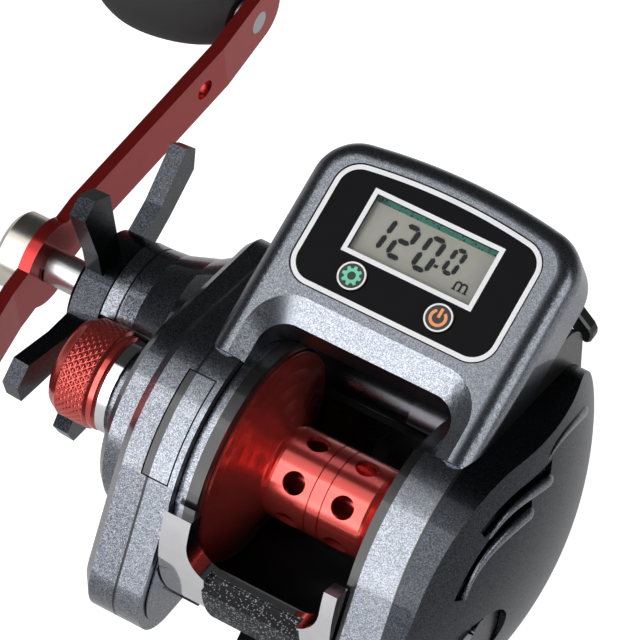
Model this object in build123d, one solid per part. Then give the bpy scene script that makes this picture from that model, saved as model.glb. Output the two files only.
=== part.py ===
from build123d import *
import math
import os

# Digital baitcasting reel, in millimetres. X runs along the spool towards the palm side, Y towards the
# rod's tip, Z up. The origin is the middle of the foot's flat underside.

# Where the axes lie, seen from the palm side
spool_y = -3.0
spool_z = 23.0
drive_drop_angle = 7.0
worm_drop_angle = 20.0

# Gears: one module for the whole train
gear_module = 0.46
drive_teeth = 63
pinion_teeth = 10
feed_drive_teeth = 24
feed_worm_teeth = 18
addendum_share = 0.85
dedendum_share = 1.05
pressure_angle = 24.0
tooth_backlash = 0.09

# Clearances
run_gap = 0.05
seat_gap = 0.05
side_gap = 0.3
overrun = 1.0

# Spool
spool_r = 18.0
spool_half = 13.7
flange_lip = 0.8
flange_lip_height = 0.6
flange_wall = 0.9
flange_curve = 1.5
barrel_r = 7.55
barrel_half = 8.9
barrel_round = 0.45
barrel_wall = 0.85
spool_hub_r = 2.7
port_r = 1.9
port_x = 4.35
ports_per_row = 6
port_turn = 47.5
barrel_groove_x = 1.15
barrel_groove = 0.25
count_magnet_r = 0.9
count_magnet_t = 0.8
count_magnet_place = 5.1
shaft_r = 1.35
shaft_palm_end = 21.4
shaft_cap_end = 46.9
clutch_pin_r = 0.6
clutch_pin_half = 2.6

# Side outline, as circles about points measured from the spool's axis
rim_r = 22.0
heel_dy = -19.9
heel_dz = -11.8
heel_r = 9.0
brow_dy = 25.1
brow_dz = 7.7
brow_r = 9.5
crown_dy = 26.1
crown_dz = 17.2
crown_r = 7.5
toe_dy = 21.1
toe_dz = -10.8
toe_r = 10.5

# Frame
ring_x = 13.4
ring_width = 2.0
ring_drop = 1.4
bore_r = 18.3
wall_x = 14.9
wall_t = 2.0
recess_x = 17.1
recess_drop = 1.8
rim_x = 21.7
rim_wall = 1.8
trough_r = 19.0
trough_wall = 1.6
trough_start = 200.0
trough_end = 317.0
shield_end = 350.0
toe_bar_drop = 6.9
foot_pad_half_x = 8.0
foot_pad_half_y = 13.0

# Foot
foot_half = 31.0
foot_mid_half = 12.0
foot_width_half = 7.5
foot_tip_width_half = 4.5
foot_thick = 2.4
foot_tip_thick = 1.2
foot_screw_y = 8.0
foot_screw_r = 1.2
foot_screw_head_r = 2.1
foot_screw_head = 0.9
foot_screw_length = 3.2

# Side covers
cover_edge_x = 26.3
bevel_x = 28.3
bevel_drop = 2.6
cover_wall = 1.4
bulge_x = 33.3
bulge_dy = 1.0
bulge_r = 17.4
bulge_brow_dy = 24.2
bulge_brow_dz = 6.6
bulge_brow_r = 7.4
bulge_toe_dy = 19.0
bulge_toe_dz = -7.5
bulge_toe_r = 8.6
bulge_bevel = 1.2
neck_flare_r = 16.2
neck_r = 10.9
neck_x = 48.4
neck_flare_x = 46.0
neck_groove_x = 45.5
neck_groove = 0.4
neck_bore_r = 7.05
tension_boss_r = 7.2
tension_boss_x = 37.4
tension_stub_r = 5.4
tension_stub_x = 45.6
collar_r = 7.9
collar_x = 39.2
palm_dome_r = 60.0
palm_dome_x = 33.0
palm_dome_dy = 7.0
palm_dome_dz = -1.5
palm_edge_x = 24.6
palm_hub_r = 6.4
palm_hub_x = 16.8
palm_plug_r = 18.0
palm_plug_wall = 1.4
louvre_count = 3
louvre_depth = 0.9
louvre_inset = 1.0
louvre_step = 2.6
louvre_width = 1.9
louvre_start = 36.0
louvre_start_step = 18.0
louvre_end = 74.0
louvre_end_step = 38.0
dial_dy = -8.0
dial_dz = -6.0
dial_r = 5.4
dial_recess = 1.6
dial_grip_depth = 0.4
dial_grips = 12
dial_hub_r = 2.0
dial_boss_r = 3.4
dial_hub = 5.0
magnet_ring_r = 7.4
magnet_ring_bore = 4.4
magnet_ring_t = 1.4
magnet_r = 1.1
magnet_t = 1.0
magnet_count = 6

# Flush inset cover, across the handle side's parting line
inset_near_x = 18.3
inset_far_x = 22.7
inset_start = 108.0
inset_end = 154.0
inset_depth = 1.2
inset_gap = 0.25

# Counter housing, on a plane that leans back towards the angler
display_tilt = 25.75
display_dy = 22.9
display_dz = 34.5
display_dx = -0.45
housing_overhang = 1.3
housing_thick = 10.5
housing_top = 13.5
housing_arch_r = 100.0
housing_foot = -27.5
housing_corner_r = 7.5
housing_round = 3.3
window_bevel = 2.6
window_bevel_top = 4.2
window_bevel_drop = 1.7
leg_inner = 16.7
window_top = -18.9
window_corner_r = 4.5
leg_seat_r = 19.8
panel_half = 18.05
panel_top = 9.4
panel_bottom = -13.0
panel_corner_r = 4.4
panel_arch_r = 97.0
panel_t = 0.8
panel_seat = 0.9
ledge = 0.7
view_half_x = 10.65
view_half_y = 4.8
lcd_half_x = 11.1
lcd_bottom = -5.4
lcd_top = 4.1
lens_t = 0.5
lcd_drop = 1.5
lcd_t = 1.2
board_drop = 3.0
board_t = 1.0
board_margin = 0.2
bay_floor = 8.0
button_x = 7.6
button_y = -8.6
button_r = 2.3
button_lip_r = 2.45
button_lip = 0.5
button_proud = 0.35
button_travel = 0.4
cell_r = 10.0
cell_t = 3.2
cell_drop = 4.45
cell_y = -3.0
battery_cover_r = 11.0
battery_cover_t = 2.2
battery_slot = 1.6
battery_slot_length = 12.0
housing_screw_r = 1.0
housing_screw_head_r = 1.7
housing_screw_y = -7.2
housing_screw_x = 15.6

# Front hood, hung under the housing's front
hood_half = 24.4
hood_y = 34.2
hood_t = 2.6
hood_top_drop = 4.6
hood_ear_low = 15.6
hood_ear_in = 19.6
hood_mouth_top = 20.6
hood_corner_r = 1.8

# Level wind
worm_r = 2.6
worm_journal_r = 1.5
worm_journal_x = 14.6
worm_end_x = 16.6
tube_bore = 2.9
tube_r = 4.1
tube_slot = 3.0
carriage_gap = 0.12
carriage_x = 4.5
carriage_half = 4.0
carriage_r = 5.3
carriage_travel_left = 13.2
carriage_travel_right = 4.2
post_y = 3.6
post_t = 2.6
post_top = 8.6
eye_half_width = 1.3
eye_half_height = 3.4
eye_wall = 1.0
eye_depth = 3.4
rod_r = 1.0
rod_dy = 2.4
rod_dz = -8.0
pawl_r = 1.3
pawl_cap_r = 2.6
pawl_cap_t = 1.6
feed_gear_x = 17.25
feed_gear_t = 1.7
bush_r = 2.6
bush_t = 1.4

# Handle side mechanism
drive_gear_x = 20.2
drive_gear_t = 3.0
drive_cup_r = 12.2
drive_web = 1.0
washer_count = 3
washer_t = 0.45
washer_bore = 3.2
plate_t = 0.9
drive_shaft_r = 3.0
gear_bearing_r = 5.0
gear_bearing_t = 1.9
shaft_flange_x = 19.3
shaft_flange_t = 0.6
shaft_flange_r = 7.0
sleeve_r = 4.0
sleeve_x = 46.6
clutch_bearing_x = 35.0
clutch_bearing_t = 8.0
pinion_end_x = 13.2
pinion_teeth_end = 25.2
pinion_sleeve_r = 2.5
pinion_groove_x = 26.6
pinion_groove_r = 1.9
pinion_groove = 1.2
pinion_tail_x = 28.9
pinion_slot = 1.7
pinion_slot_depth = 2.2
yoke_t = 0.9
yoke_half = 9.5
yoke_arm = 3.0
yoke_post_r = 0.8
yoke_travel = 1.6
spring_r = 1.5
spool_bearing_r = 4.0
spool_bearing_t = 2.5
cap_bearing_x = 39.6
palm_bearing_x = 17.2

# Tension knob
knob_start_x = 39.5
knob_end_x = 48.5
knob_r = 8.4
knob_nose_r = 7.5
knob_rim = 1.3
knob_rim_r = 8.0
knob_wall = 1.3
knob_round = 1.2

# Star drag
spring_washer_t = 0.5
star_hub_x = 48.8
star_hub_end = 55.4
star_hub_r = 10.6
star_arms = 5
star_hub_bevel = 1.2
star_arm_turn = 101.5
star_reach = 27.4
star_arm_root_half = 2.7
star_arm_tip_half = 3.4
star_arm_x = 51.0
star_arm_t = 3.0
star_tip_x = 51.8
star_bend_r = 16.0
star_sweep = 2.6

# Handle
arm_turn = 11.0
arm_hub_x = 63.7
arm_t = 2.2
arm_drop = 3.7
arm_half = 64.0
arm_hub_r = 7.6
arm_half_width = 5.1
arm_bend_start = 10.0
arm_bend_end = 47.0
arm_hole_r = 1.8
arm_hole_share = 0.72
knob_inset = 6.5
spindle_r = 2.0
spindle_foot_r = 3.4
spindle_foot = 1.2
grip_r = 9.5
grip_waist_r = 7.0
grip_neck_r = 5.2
grip_length = 27.0
grip_cap_t = 1.3
nut_r = 4.6
nut_t = 3.4
nut_cap_r = 6.6
nut_cap_wall = 0.9
nut_cap_t = 5.2

# Thumb bar, held in the notch behind the spool
thumb_r = 21.3
thumb_t = 3.4
thumb_start = 160.0
thumb_low_start = 185.6
thumb_end = 221.0
thumb_scoop_half = 11.7
thumb_scoop_r = 6.5
thumb_left = 16.4
thumb_right = 14.0
thumb_travel = 3.5
thumb_notch_start = 157.5
pad_half = 8.2
pad_proud = 0.8
pad_start = 186.8
pad_end = 219.0
pad_sink = 2.3

# Screws of the handle side cover
heel_screw_dy = -13.0
side_screw_r = 0.9
side_screw_head_r = 1.6
side_screw_head = 1.0
side_screw_length = 3.0

# Shares of the sizes that they follow
sector_shares = (0.0, 0.25, 0.5, 0.75, 1.0)
curve_shares = (0.0, 0.2, 0.4, 0.6, 0.8, 1.0)
flare_shares = (0.0, 0.35, 0.75, 1.0)
grip_shares = (0.0, 0.12, 0.45, 0.7, 0.92, 1.0)
half_turn = 180.0
full_turn = 360.0
hex_sides = 6


# Worked-out places
drive_distance = gear_module * (drive_teeth + pinion_teeth) / 2
drive_y = spool_y + drive_distance * math.cos(math.radians(drive_drop_angle))
drive_z = spool_z - drive_distance * math.sin(math.radians(drive_drop_angle))
pinion_teeth_x = drive_gear_x - yoke_travel - side_gap
worm_distance = gear_module * (feed_drive_teeth + feed_worm_teeth) / 2
worm_y = drive_y + worm_distance * math.cos(math.radians(worm_drop_angle))
worm_z = drive_z - worm_distance * math.sin(math.radians(worm_drop_angle))
housing_half = rim_x + housing_overhang
hood_top = display_dz - hood_top_drop
knob_centre = arm_half - knob_inset
arm_hole_y = knob_centre * arm_hole_share
tilt_cos = math.cos(math.radians(display_tilt))
tilt_sin = math.sin(math.radians(display_tilt))
display = Plane(
    origin=(display_dx, spool_y + display_dy, spool_z + display_dz),
    x_dir=(1, 0, 0),
    z_dir=(0, -tilt_sin, tilt_cos),
)


# Building blocks
def prism(face, x0, x1):
    """A YZ outline pushed along X from x0 to x1."""
    return extrude(Plane.YZ.offset(x0) * face, amount=x1 - x0)


def rod(y, z, r, x0, x1):
    return prism(Pos(y, z) * Circle(r), x0, x1)


def tube(y, z, r, bore, x0, x1):
    return prism(Pos(y, z) * (Circle(r) - Circle(bore)), x0, x1)


def lathe(points, y, z):
    """Turn (x, r) points about the X axis through y, z."""
    face = make_face(Polyline(*points, close=True))
    return Pos(0, y, z) * revolve(face, Axis.X)


def sector(r_out, r_in, start, end):
    """A ring sector about the spool's axis, angles counted from +Y towards +Z."""
    reach = 2 * r_out
    steps = [start + (end - start) * share for share in sector_shares]
    corners = [(reach * math.cos(math.radians(a)), reach * math.sin(math.radians(a))) for a in steps]
    wedge = make_face(Polyline((0, 0), *corners, close=True))
    return Pos(spool_y, spool_z) * ((Circle(r_out) - Circle(r_in)) & wedge)


def hull_of(circles, grow=0):
    """The outline drawn tight round circles given from the spool's axis."""
    edges = []
    for dy, dz, r in circles:
        edges += (Pos(spool_y + dy, spool_z + dz) * Circle(r + grow)).edges()
    return make_hull(edges)


def on_display(face, drop, depth):
    """An outline on the display plane, cut or filled from drop down to drop + depth."""
    return extrude(display.offset(-drop) * face, amount=-depth)


def save(name, shape):
    export_step(shape, f"parts/{name}.step")


# Side outlines
def cover_outline(grow=0):
    circles = ((0, 0, rim_r), (heel_dy, heel_dz, heel_r), (brow_dy, brow_dz, brow_r), (toe_dy, toe_dz, toe_r))
    return hull_of(circles, grow)


def housing_side(grow=0):
    """The housing seen from the side: a leaning slab, open where the legs ride on the rings."""
    length = housing_top - housing_foot
    slab = Rectangle(length + 2 * grow, housing_thick + 2 * grow)
    middle = (housing_top + housing_foot) / 2
    y = spool_y + display_dy + middle * tilt_cos + housing_thick / 2 * tilt_sin
    z = spool_z + display_dz + middle * tilt_sin - housing_thick / 2 * tilt_cos
    leaning = Pos(y, z) * Rot(0, 0, display_tilt) * slab
    return leaning - Pos(spool_y, spool_z) * Circle(leg_seat_r - grow)


def rims_outline(grow=0):
    circles = (
        (0, 0, rim_r),
        (heel_dy, heel_dz, heel_r),
        (brow_dy, brow_dz, brow_r),
        (crown_dy, crown_dz, crown_r),
        (toe_dy, toe_dz, toe_r),
    )
    return hull_of(circles, grow)


def frame_outline(grow=0):
    return rims_outline(grow) - housing_side(seat_gap)


def bulge_outline(grow=0):
    circles = (
        (bulge_dy, 0, bulge_r),
        (bulge_brow_dy, bulge_brow_dz, bulge_brow_r),
        (bulge_toe_dy, bulge_toe_dz, bulge_toe_r),
    )
    return hull_of(circles, grow)


# Frame
def frame_sides():
    left = prism(frame_outline(-recess_drop), -recess_x, -ring_x)
    left += prism(frame_outline() - frame_outline(-rim_wall), -rim_x, -recess_x + seat_gap)
    right = prism(frame_outline(-ring_drop), ring_x, ring_x + ring_width)
    right += prism(frame_outline(), ring_x + ring_width, rim_x)
    right -= prism(frame_outline(-rim_wall), wall_x + wall_t, rim_x + overrun)
    left -= prism(frame_outline(-rim_wall), -rim_x - overrun, -wall_x - wall_t)
    bores = rod(spool_y, spool_z, bore_r, -wall_x, -ring_x + overrun)
    bores += rod(spool_y, spool_z, bore_r, ring_x - overrun, wall_x + wall_t + overrun)
    crown = frame_outline() - cover_outline(2 * seat_gap)
    left += prism(crown, -housing_half, -rim_x + rim_wall)
    right += prism(crown, rim_x - rim_wall, housing_half)
    return left + right - bores


def frame_trough():
    under = sector(trough_r + trough_wall, trough_r, trough_start, trough_end)
    return prism(under, -ring_x - ring_width, ring_x + ring_width)


def frame_pad():
    """The raised pad that the foot is screwed to, and the rib that ties it to the toe."""
    low = foot_thick
    high = spool_z - trough_r - trough_wall / 2
    pad = Pos(0, spool_y, (low + high) / 2) * Box(2 * foot_pad_half_x, 2 * foot_pad_half_y, high - low)
    well = rod(spool_y, spool_z, trough_r, -ring_x, ring_x)
    return pad - well


def frame_bar():
    """The bar across the toe, below the line guide."""
    face = Pos(spool_y + toe_dy, spool_z + toe_dz - toe_bar_drop - toe_r / 2) * Rectangle(toe_r, toe_r)
    return prism(face & frame_outline(-ring_drop), -ring_x - ring_width, ring_x + ring_width)


def thumb_notch():
    """The open way behind the spool that the thumb bar moves down in."""
    rise = math.radians(half_turn - thumb_start)
    near = thumb_r * math.cos(rise) - side_gap
    high = thumb_r * math.sin(rise) + side_gap
    way = Pos(spool_y - near - thumb_r / 2, spool_z + high / 2) * Rectangle(thumb_r, high)
    fall = math.radians(thumb_end - half_turn)
    low = thumb_r * math.sin(fall) + thumb_travel + side_gap
    end = half_turn + math.degrees(math.atan2(low, thumb_r * math.cos(fall)))
    return way + sector(3 * thumb_r / 2, thumb_r - side_gap, thumb_notch_start, end)


def frame():
    body = frame_sides() + frame_trough() + frame_pad() + frame_bar()
    body -= prism(thumb_notch(), -thumb_left - side_gap, thumb_right + side_gap)
    body -= rod(spool_y, spool_z, gear_bearing_r + seat_gap, -wall_x - wall_t - overrun, -wall_x + overrun)
    body -= rod(drive_y, drive_z, gear_bearing_r + seat_gap, -wall_x - wall_t - overrun, -wall_x + seat_gap)
    body -= rod(worm_y, worm_z, bush_r + seat_gap, -recess_x - overrun, worm_end_x + overrun)
    rod_reach = wall_x + overrun / 2
    body -= rod(worm_y + rod_dy, worm_z + rod_dz, rod_r + seat_gap, -rod_reach, rod_reach)
    for side in (-1, 1):
        hole = Pos(0, side * foot_screw_y) * Circle(foot_screw_r + seat_gap)
        body -= extrude(Plane.XY * hole, amount=foot_screw_length + foot_screw_head + seat_gap)
    for y, z in side_screw_places():
        post = rod(y, z, side_screw_head_r + rim_wall / 2, -rim_x, -wall_x - wall_t / 2)
        body += post & prism(frame_outline(), -rim_x, -wall_x)
        body -= rod(y, z, side_screw_r + seat_gap, -rim_x - overrun, -wall_x - seat_gap)
    return body - inset_pocket() - gear_room()


def gear_room():
    """The space that the drive gear turns in, cut into the frame and the cover."""
    tip_r = gear_module * drive_teeth / 2 + addendum_share * gear_module
    far = -drive_gear_x - drive_gear_t - side_gap
    return rod(drive_y, drive_z, tip_r + side_gap, far, -drive_gear_x + side_gap)


def side_screw_places():
    """Screw places inside the rim: at the heel, under the spool and at the brow."""
    reach = rim_wall + side_screw_r * 2
    return (
        (spool_y + heel_screw_dy, spool_z + heel_dz - heel_r + reach),
        (spool_y, spool_z - rim_r + reach),
        (spool_y + brow_dy + brow_r / 2, spool_z + brow_dz + brow_r / 2 - reach / 2),
    )


def inset_face(gap):
    """The inset cover's section: a shallow arc along the rim."""
    turn = math.degrees(gap / rim_r)
    return sector(rim_r + overrun, rim_r - inset_depth - gap / 2, inset_start - turn, inset_end + turn)


def inset_pocket():
    return prism(inset_face(inset_gap), -inset_far_x - inset_gap, -inset_near_x + inset_gap)


def inset_cover():
    face = inset_face(0) & (Pos(spool_y, spool_z) * Circle(rim_r))
    return prism(face, -inset_far_x, -inset_near_x)


def worm_shield():
    gap_turn = math.degrees(seat_gap / trough_r)
    face = sector(trough_r + trough_wall, trough_r, trough_end + gap_turn, shield_end)
    return prism(face, -ring_x + seat_gap, ring_x - seat_gap)


# Foot
def reel_foot():
    side = make_face(
        Polyline(
            (-foot_half, 0),
            (foot_half, 0),
            (foot_half, foot_tip_thick),
            (foot_mid_half, foot_thick),
            (-foot_mid_half, foot_thick),
            (-foot_half, foot_tip_thick),
            close=True,
        )
    )
    body = prism(side, -foot_width_half, foot_width_half)
    ends = [
        (Pos(0, side_y * (foot_half - foot_tip_width_half)) * Circle(foot_tip_width_half)).edges()
        for side_y in (-1, 1)
    ]
    middle = (Rectangle(2 * foot_width_half, 2 * foot_mid_half)).edges()
    plan = make_hull(ends[0] + ends[1] + middle)
    body &= extrude(plan, amount=foot_thick)
    for side_y in (-1, 1):
        body -= Pos(0, side_y * foot_screw_y, 0) * Cylinder(
            foot_screw_r + seat_gap, 3 * foot_thick, align=(Align.CENTER, Align.CENTER, Align.CENTER)
        )
        body -= Pos(0, side_y * foot_screw_y, 0) * Cylinder(
            foot_screw_head_r + seat_gap, 2 * (foot_screw_head + seat_gap)
        )
    return body


def foot_screws():
    base = (Align.CENTER, Align.CENTER, Align.MIN)
    screws = []
    for side_y in (-1, 1):
        head = Cylinder(foot_screw_head_r, foot_screw_head, align=base)
        head += Pos(0, 0, foot_screw_head) * Cylinder(foot_screw_r, foot_screw_length, align=base)
        head -= Cylinder(foot_screw_r * 2 / 3, foot_screw_head, align=(Align.CENTER,) * 3)
        screws.append(Pos(0, side_y * foot_screw_y, seat_gap) * head)
    return Compound(children=screws)


# Handle side cover
def neck_profile(shrink):
    """The neck's outer curve, from the bulge's face out to the star drag, as (x, r) points."""
    start = bulge_x - bulge_bevel
    span = neck_flare_x - start
    points = []
    for share in flare_shares:
        drop = (1 - share) * (1 - share)
        points.append((-(start + span * share), neck_r + (neck_flare_r - neck_r) * drop - shrink))
    points.append((-neck_x, neck_r - shrink))
    return points


def stack(outline, places):
    """Ruled layers of one outline at several (x, grow) places."""
    faces = [Plane.YZ.offset(x) * outline(grow) for x, grow in places]
    return loft(faces, ruled=True)


def handle_cover_shell(shrink):
    body = prism(cover_outline(-shrink), -cover_edge_x + shrink, -rim_x - seat_gap)
    body += stack(
        cover_outline,
        ((-cover_edge_x + shrink, -shrink), (-bevel_x + shrink, -bevel_drop - shrink)),
    )
    body += prism(bulge_outline(-shrink), -bulge_x + bulge_bevel + shrink, -bevel_x + shrink + bulge_bevel)
    body += stack(
        bulge_outline,
        ((-bulge_x + bulge_bevel + shrink, -shrink), (-bulge_x + shrink, -shrink - bulge_bevel)),
    )
    return body


def handle_side_cover():
    body = handle_cover_shell(0) - handle_cover_shell(cover_wall)
    curve = neck_profile(0)
    body += lathe([(curve[0][0], 0), *curve, (-neck_x, 0)], drive_y, drive_z)
    body -= rod(drive_y, drive_z, neck_bore_r, -neck_x - overrun, -rim_x)
    body -= rod(spool_y, spool_z, knob_r + side_gap, -neck_x - overrun, -tension_boss_x)
    body += rod(spool_y, spool_z, tension_boss_r, -tension_boss_x, -bulge_x + cover_wall)
    body += rod(spool_y, spool_z, tension_stub_r, -tension_stub_x, -tension_boss_x)
    seat_r = spool_bearing_r + seat_gap
    body -= rod(spool_y, spool_z, seat_r, -tension_stub_x - overrun, -cap_bearing_x + seat_gap)
    body -= rod(spool_y, spool_z, pinion_sleeve_r + side_gap, -cap_bearing_x, -rim_x)
    for y, z in side_screw_places():
        boss = rod(y, z, side_screw_head_r + rim_wall / 2, -cover_edge_x, -rim_x - seat_gap)
        body += boss & handle_cover_shell(0)
        body -= rod(y, z, side_screw_r + seat_gap, -bulge_x, -rim_x + overrun)
        head_x = rim_x + side_screw_length - side_screw_head
        body -= rod(y, z, side_screw_head_r + seat_gap, -bulge_x, -head_x)
    floor_r = neck_r - neck_groove
    groove = tube(drive_y, drive_z, neck_flare_r, floor_r, -neck_groove_x - neck_groove, -neck_groove_x)
    return body - groove - inset_pocket() - gear_room()


def side_screws():
    screws = []
    head_x = rim_x + side_screw_length - side_screw_head
    for y, z in side_screw_places():
        screw = rod(y, z, side_screw_head_r, -head_x - side_screw_head, -head_x - seat_gap)
        screw += rod(y, z, side_screw_r, -head_x - side_screw_head / 4, -wall_x - 2 * seat_gap)
        screw -= rod(y, z, side_screw_r * 2 / 3, -head_x - side_screw_head, -head_x - side_screw_head / 2)
        screws.append(screw)
    return Compound(children=screws)


def tension_collar():
    return tube(spool_y, spool_z, collar_r, tension_stub_r + seat_gap, -collar_x, -tension_boss_x - seat_gap)


# Palm side cover
def palm_dome(shrink):
    centre = Pos(palm_dome_x - palm_dome_r, spool_y + palm_dome_dy, spool_z + palm_dome_dz)
    ball = centre * Sphere(palm_dome_r - shrink)
    body = prism(cover_outline(-shrink), rim_x + seat_gap, palm_dome_x + overrun) & ball
    return body + prism(cover_outline(-shrink), rim_x + seat_gap, palm_edge_x - shrink)


def louvres():
    """Three long recesses that follow the outline over the dome's upper rear, each nearer to the middle."""
    cuts = []
    for k in range(louvre_count):
        inset = louvre_inset + k * louvre_step
        band = cover_outline(-inset) - cover_outline(-inset - louvre_width)
        start = louvre_start + k * louvre_start_step
        end = louvre_end + k * louvre_end_step
        wedge = sector(2 * rim_r, louvre_width, start, end)
        cuts.append(prism(band & wedge, rim_x, palm_dome_x + overrun))
    return cuts


def palm_side_cover():
    body = palm_dome(0) - palm_dome(cover_wall)
    under = palm_dome(0) + rod(spool_y, spool_z, palm_plug_r, wall_x, rim_x + 2 * seat_gap)
    plug_bore = palm_plug_r - palm_plug_wall
    plug_end = palm_dome_x - 3 * cover_wall
    body += tube(spool_y, spool_z, palm_plug_r, plug_bore, wall_x + seat_gap, plug_end) & under
    body += rod(spool_y, spool_z, palm_hub_r, palm_hub_x, palm_dome_x) & under
    skin = palm_dome(louvre_depth)
    for cut in louvres():
        body -= cut - skin
    y, z = dial_place()
    floor_x = dial_face_x() - dial_recess
    body += rod(y, z, dial_r + side_gap + cover_wall, floor_x - cover_wall, palm_dome_x) & under
    body += rod(y, z, dial_boss_r, floor_x - dial_hub, floor_x)
    body -= rod(y, z, dial_r + side_gap, floor_x, palm_dome_x + overrun)
    body -= rod(y, z, dial_hub_r + run_gap, floor_x - dial_hub - overrun, palm_dome_x)
    shaft_room = shaft_palm_end + side_gap
    body -= rod(spool_y, spool_z, shaft_r + side_gap, palm_hub_x - overrun, shaft_room)
    seat_r = spool_bearing_r + seat_gap
    body -= rod(spool_y, spool_z, seat_r, palm_hub_x - overrun, palm_bearing_x + spool_bearing_t)
    return body


def dial_place():
    """The dial's axis, below and behind the louvres."""
    return spool_y + dial_dy, spool_z + dial_dz


def dial_face_x():
    """The dome's height over the dial's axis."""
    away = math.hypot(dial_dy - palm_dome_dy, dial_dz - palm_dome_dz)
    return palm_dome_x - palm_dome_r + math.sqrt(palm_dome_r * palm_dome_r - away * away)


def brake_dial():
    y, z = dial_place()
    face_x = dial_face_x()
    body = rod(y, z, dial_r, face_x - dial_recess + seat_gap, face_x)
    for k in range(dial_grips):
        a = math.radians(full_turn * k / dial_grips)
        grip = rod(y + dial_r * math.cos(a), z + dial_r * math.sin(a), dial_grip_depth, rim_x, palm_dome_x)
        body -= grip
    return body + rod(y, z, dial_hub_r, face_x - dial_recess - dial_hub, face_x - dial_recess + 2 * seat_gap)


def magnet_ring():
    """The carrier in front of the spool's end, with a blind pocket for each brake magnet."""
    end = palm_hub_x - seat_gap
    body = tube(spool_y, spool_z, magnet_ring_r, magnet_ring_bore, end - magnet_ring_t, end)
    for y, z in magnet_places():
        body -= rod(y, z, magnet_r + seat_gap, end - magnet_ring_t - overrun, end - magnet_ring_t + magnet_t)
    return body


def magnet_places():
    reach = (magnet_ring_r + magnet_ring_bore) / 2
    turns = [math.radians(full_turn * k / magnet_count) for k in range(magnet_count)]
    return [(spool_y + reach * math.cos(a), spool_z + reach * math.sin(a)) for a in turns]


def brake_magnets():
    x = palm_hub_x - seat_gap - magnet_ring_t
    discs = [rod(y, z, magnet_r, x - seat_gap, x + magnet_t - seat_gap) for y, z in magnet_places()]
    return Compound(children=discs)


# Counter housing
def arched_plate(half, bottom, top, arch_r, corner_r):
    """A plate outline with a gently arched top edge and round corners."""
    sag = arch_r - math.sqrt(arch_r * arch_r - half * half)
    left = Line((-half, top - sag), (-half, bottom))
    base = Line((-half, bottom), (half, bottom))
    right = Line((half, bottom), (half, top - sag))
    arch = ThreePointArc((half, top - sag), (0, top), (-half, top - sag))
    face = make_face([left, base, right, arch])
    return fillet(face.vertices(), corner_r)


def housing_outline():
    middle = Pos(-display_dx, 0)
    plate = arched_plate(housing_half, housing_foot, housing_top, housing_arch_r, housing_corner_r)
    square_foot = Pos(0, housing_foot + housing_corner_r) * Rectangle(2 * housing_half, 2 * housing_corner_r)
    return middle * (plate + square_foot)


def window_outline(grow_sides=0, grow_top=0):
    """The window between the legs, open at its foot."""
    tall = window_top - housing_foot + grow_top
    half = leg_inner + grow_sides
    plate = Pos(-display_dx, window_top + grow_top - tall) * Rectangle(2 * half, 2 * tall)
    upper = plate.vertices().sort_by(Axis.Y)[-2:]
    return fillet(upper, window_corner_r + grow_sides)


def panel_outline(grow=0):
    half = panel_half + grow
    return arched_plate(half, panel_bottom - grow, panel_top + grow, panel_arch_r, panel_corner_r)


def counter_housing():
    body = on_display(housing_outline(), 0, housing_thick)
    foot_level = housing_foot + housing_corner_r / 2
    rim = [e for e in body.edges() if display_height(e) > -seat_gap and display_rise(e) > foot_level]
    body = fillet(rim, housing_round)
    body -= on_display(window_outline(), 0, housing_thick)
    mouth = display * window_outline(window_bevel, window_bevel_top)
    throat = display.offset(-window_bevel_drop) * window_outline()
    body -= loft([mouth, throat], ruled=True)
    body -= rod(spool_y, spool_z, leg_seat_r, -housing_half - overrun, housing_half + overrun)
    for low, high in ((-housing_half - overrun, -rim_x), (rim_x, housing_half + overrun)):
        body -= prism(cover_outline(seat_gap), low, high)
    body -= on_display(panel_outline(seat_gap), -overrun, overrun + panel_seat)
    body -= on_display(panel_outline(-ledge), 0, bay_floor)
    cell = Pos(0, cell_y) * Circle(cell_r + side_gap)
    body -= on_display(cell, cell_drop - seat_gap, housing_thick)
    bay = Pos(0, cell_y) * Circle(battery_cover_r + seat_gap)
    body -= on_display(bay, housing_thick - battery_cover_t - seat_gap, battery_cover_t + overrun)
    for side in (-1, 1):
        well = Pos(side * button_x, button_y) * Circle(button_lip_r + side_gap)
        body -= on_display(well, 0, bay_floor)
        place = Pos(side * housing_screw_x, housing_screw_y)
        body -= on_display(place * Circle(housing_screw_r + seat_gap), bay_floor - overrun, housing_thick)
        head = place * Circle(housing_screw_head_r + seat_gap)
        body -= on_display(head, housing_thick - housing_screw_r, housing_thick)
    return body


def display_height(edge):
    """How far an edge's middle lies above the display plane."""
    at = edge.center()
    return (at.Y - display.origin.Y) * display.z_dir.Y + (at.Z - display.origin.Z) * display.z_dir.Z


def display_rise(edge):
    """How far an edge's middle lies up the display plane."""
    at = edge.center()
    return (at.Y - display.origin.Y) * display.y_dir.Y + (at.Z - display.origin.Z) * display.y_dir.Z


def label_panel():
    body = on_display(panel_outline(), panel_seat - panel_t, panel_t)
    body -= on_display(Rectangle(2 * view_half_x, 2 * view_half_y), 0, 2 * panel_t)
    for side in (-1, 1):
        body -= on_display(Pos(side * button_x, button_y) * Circle(button_r + side_gap / 2), 0, 2 * panel_t)
    return body


def lcd_lens():
    half_x = view_half_x - seat_gap
    half_y = view_half_y - seat_gap
    return on_display(Rectangle(2 * half_x, 2 * half_y), panel_seat - panel_t, lens_t)


def lcd_module():
    place = Pos(0, (lcd_top + lcd_bottom) / 2)
    return on_display(place * Rectangle(2 * lcd_half_x, lcd_top - lcd_bottom), lcd_drop, lcd_t)


def circuit_board():
    board = panel_outline(-ledge - board_margin)
    return on_display(board, board_drop, board_t)


def button(side):
    place = Pos(side * button_x, button_y)
    length = button_proud + board_drop - button_travel - seat_gap
    body = on_display(place * Circle(button_r), -button_proud, length)
    body += on_display(place * Circle(button_lip_r), panel_seat + 2 * seat_gap, button_lip)
    return body


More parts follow.
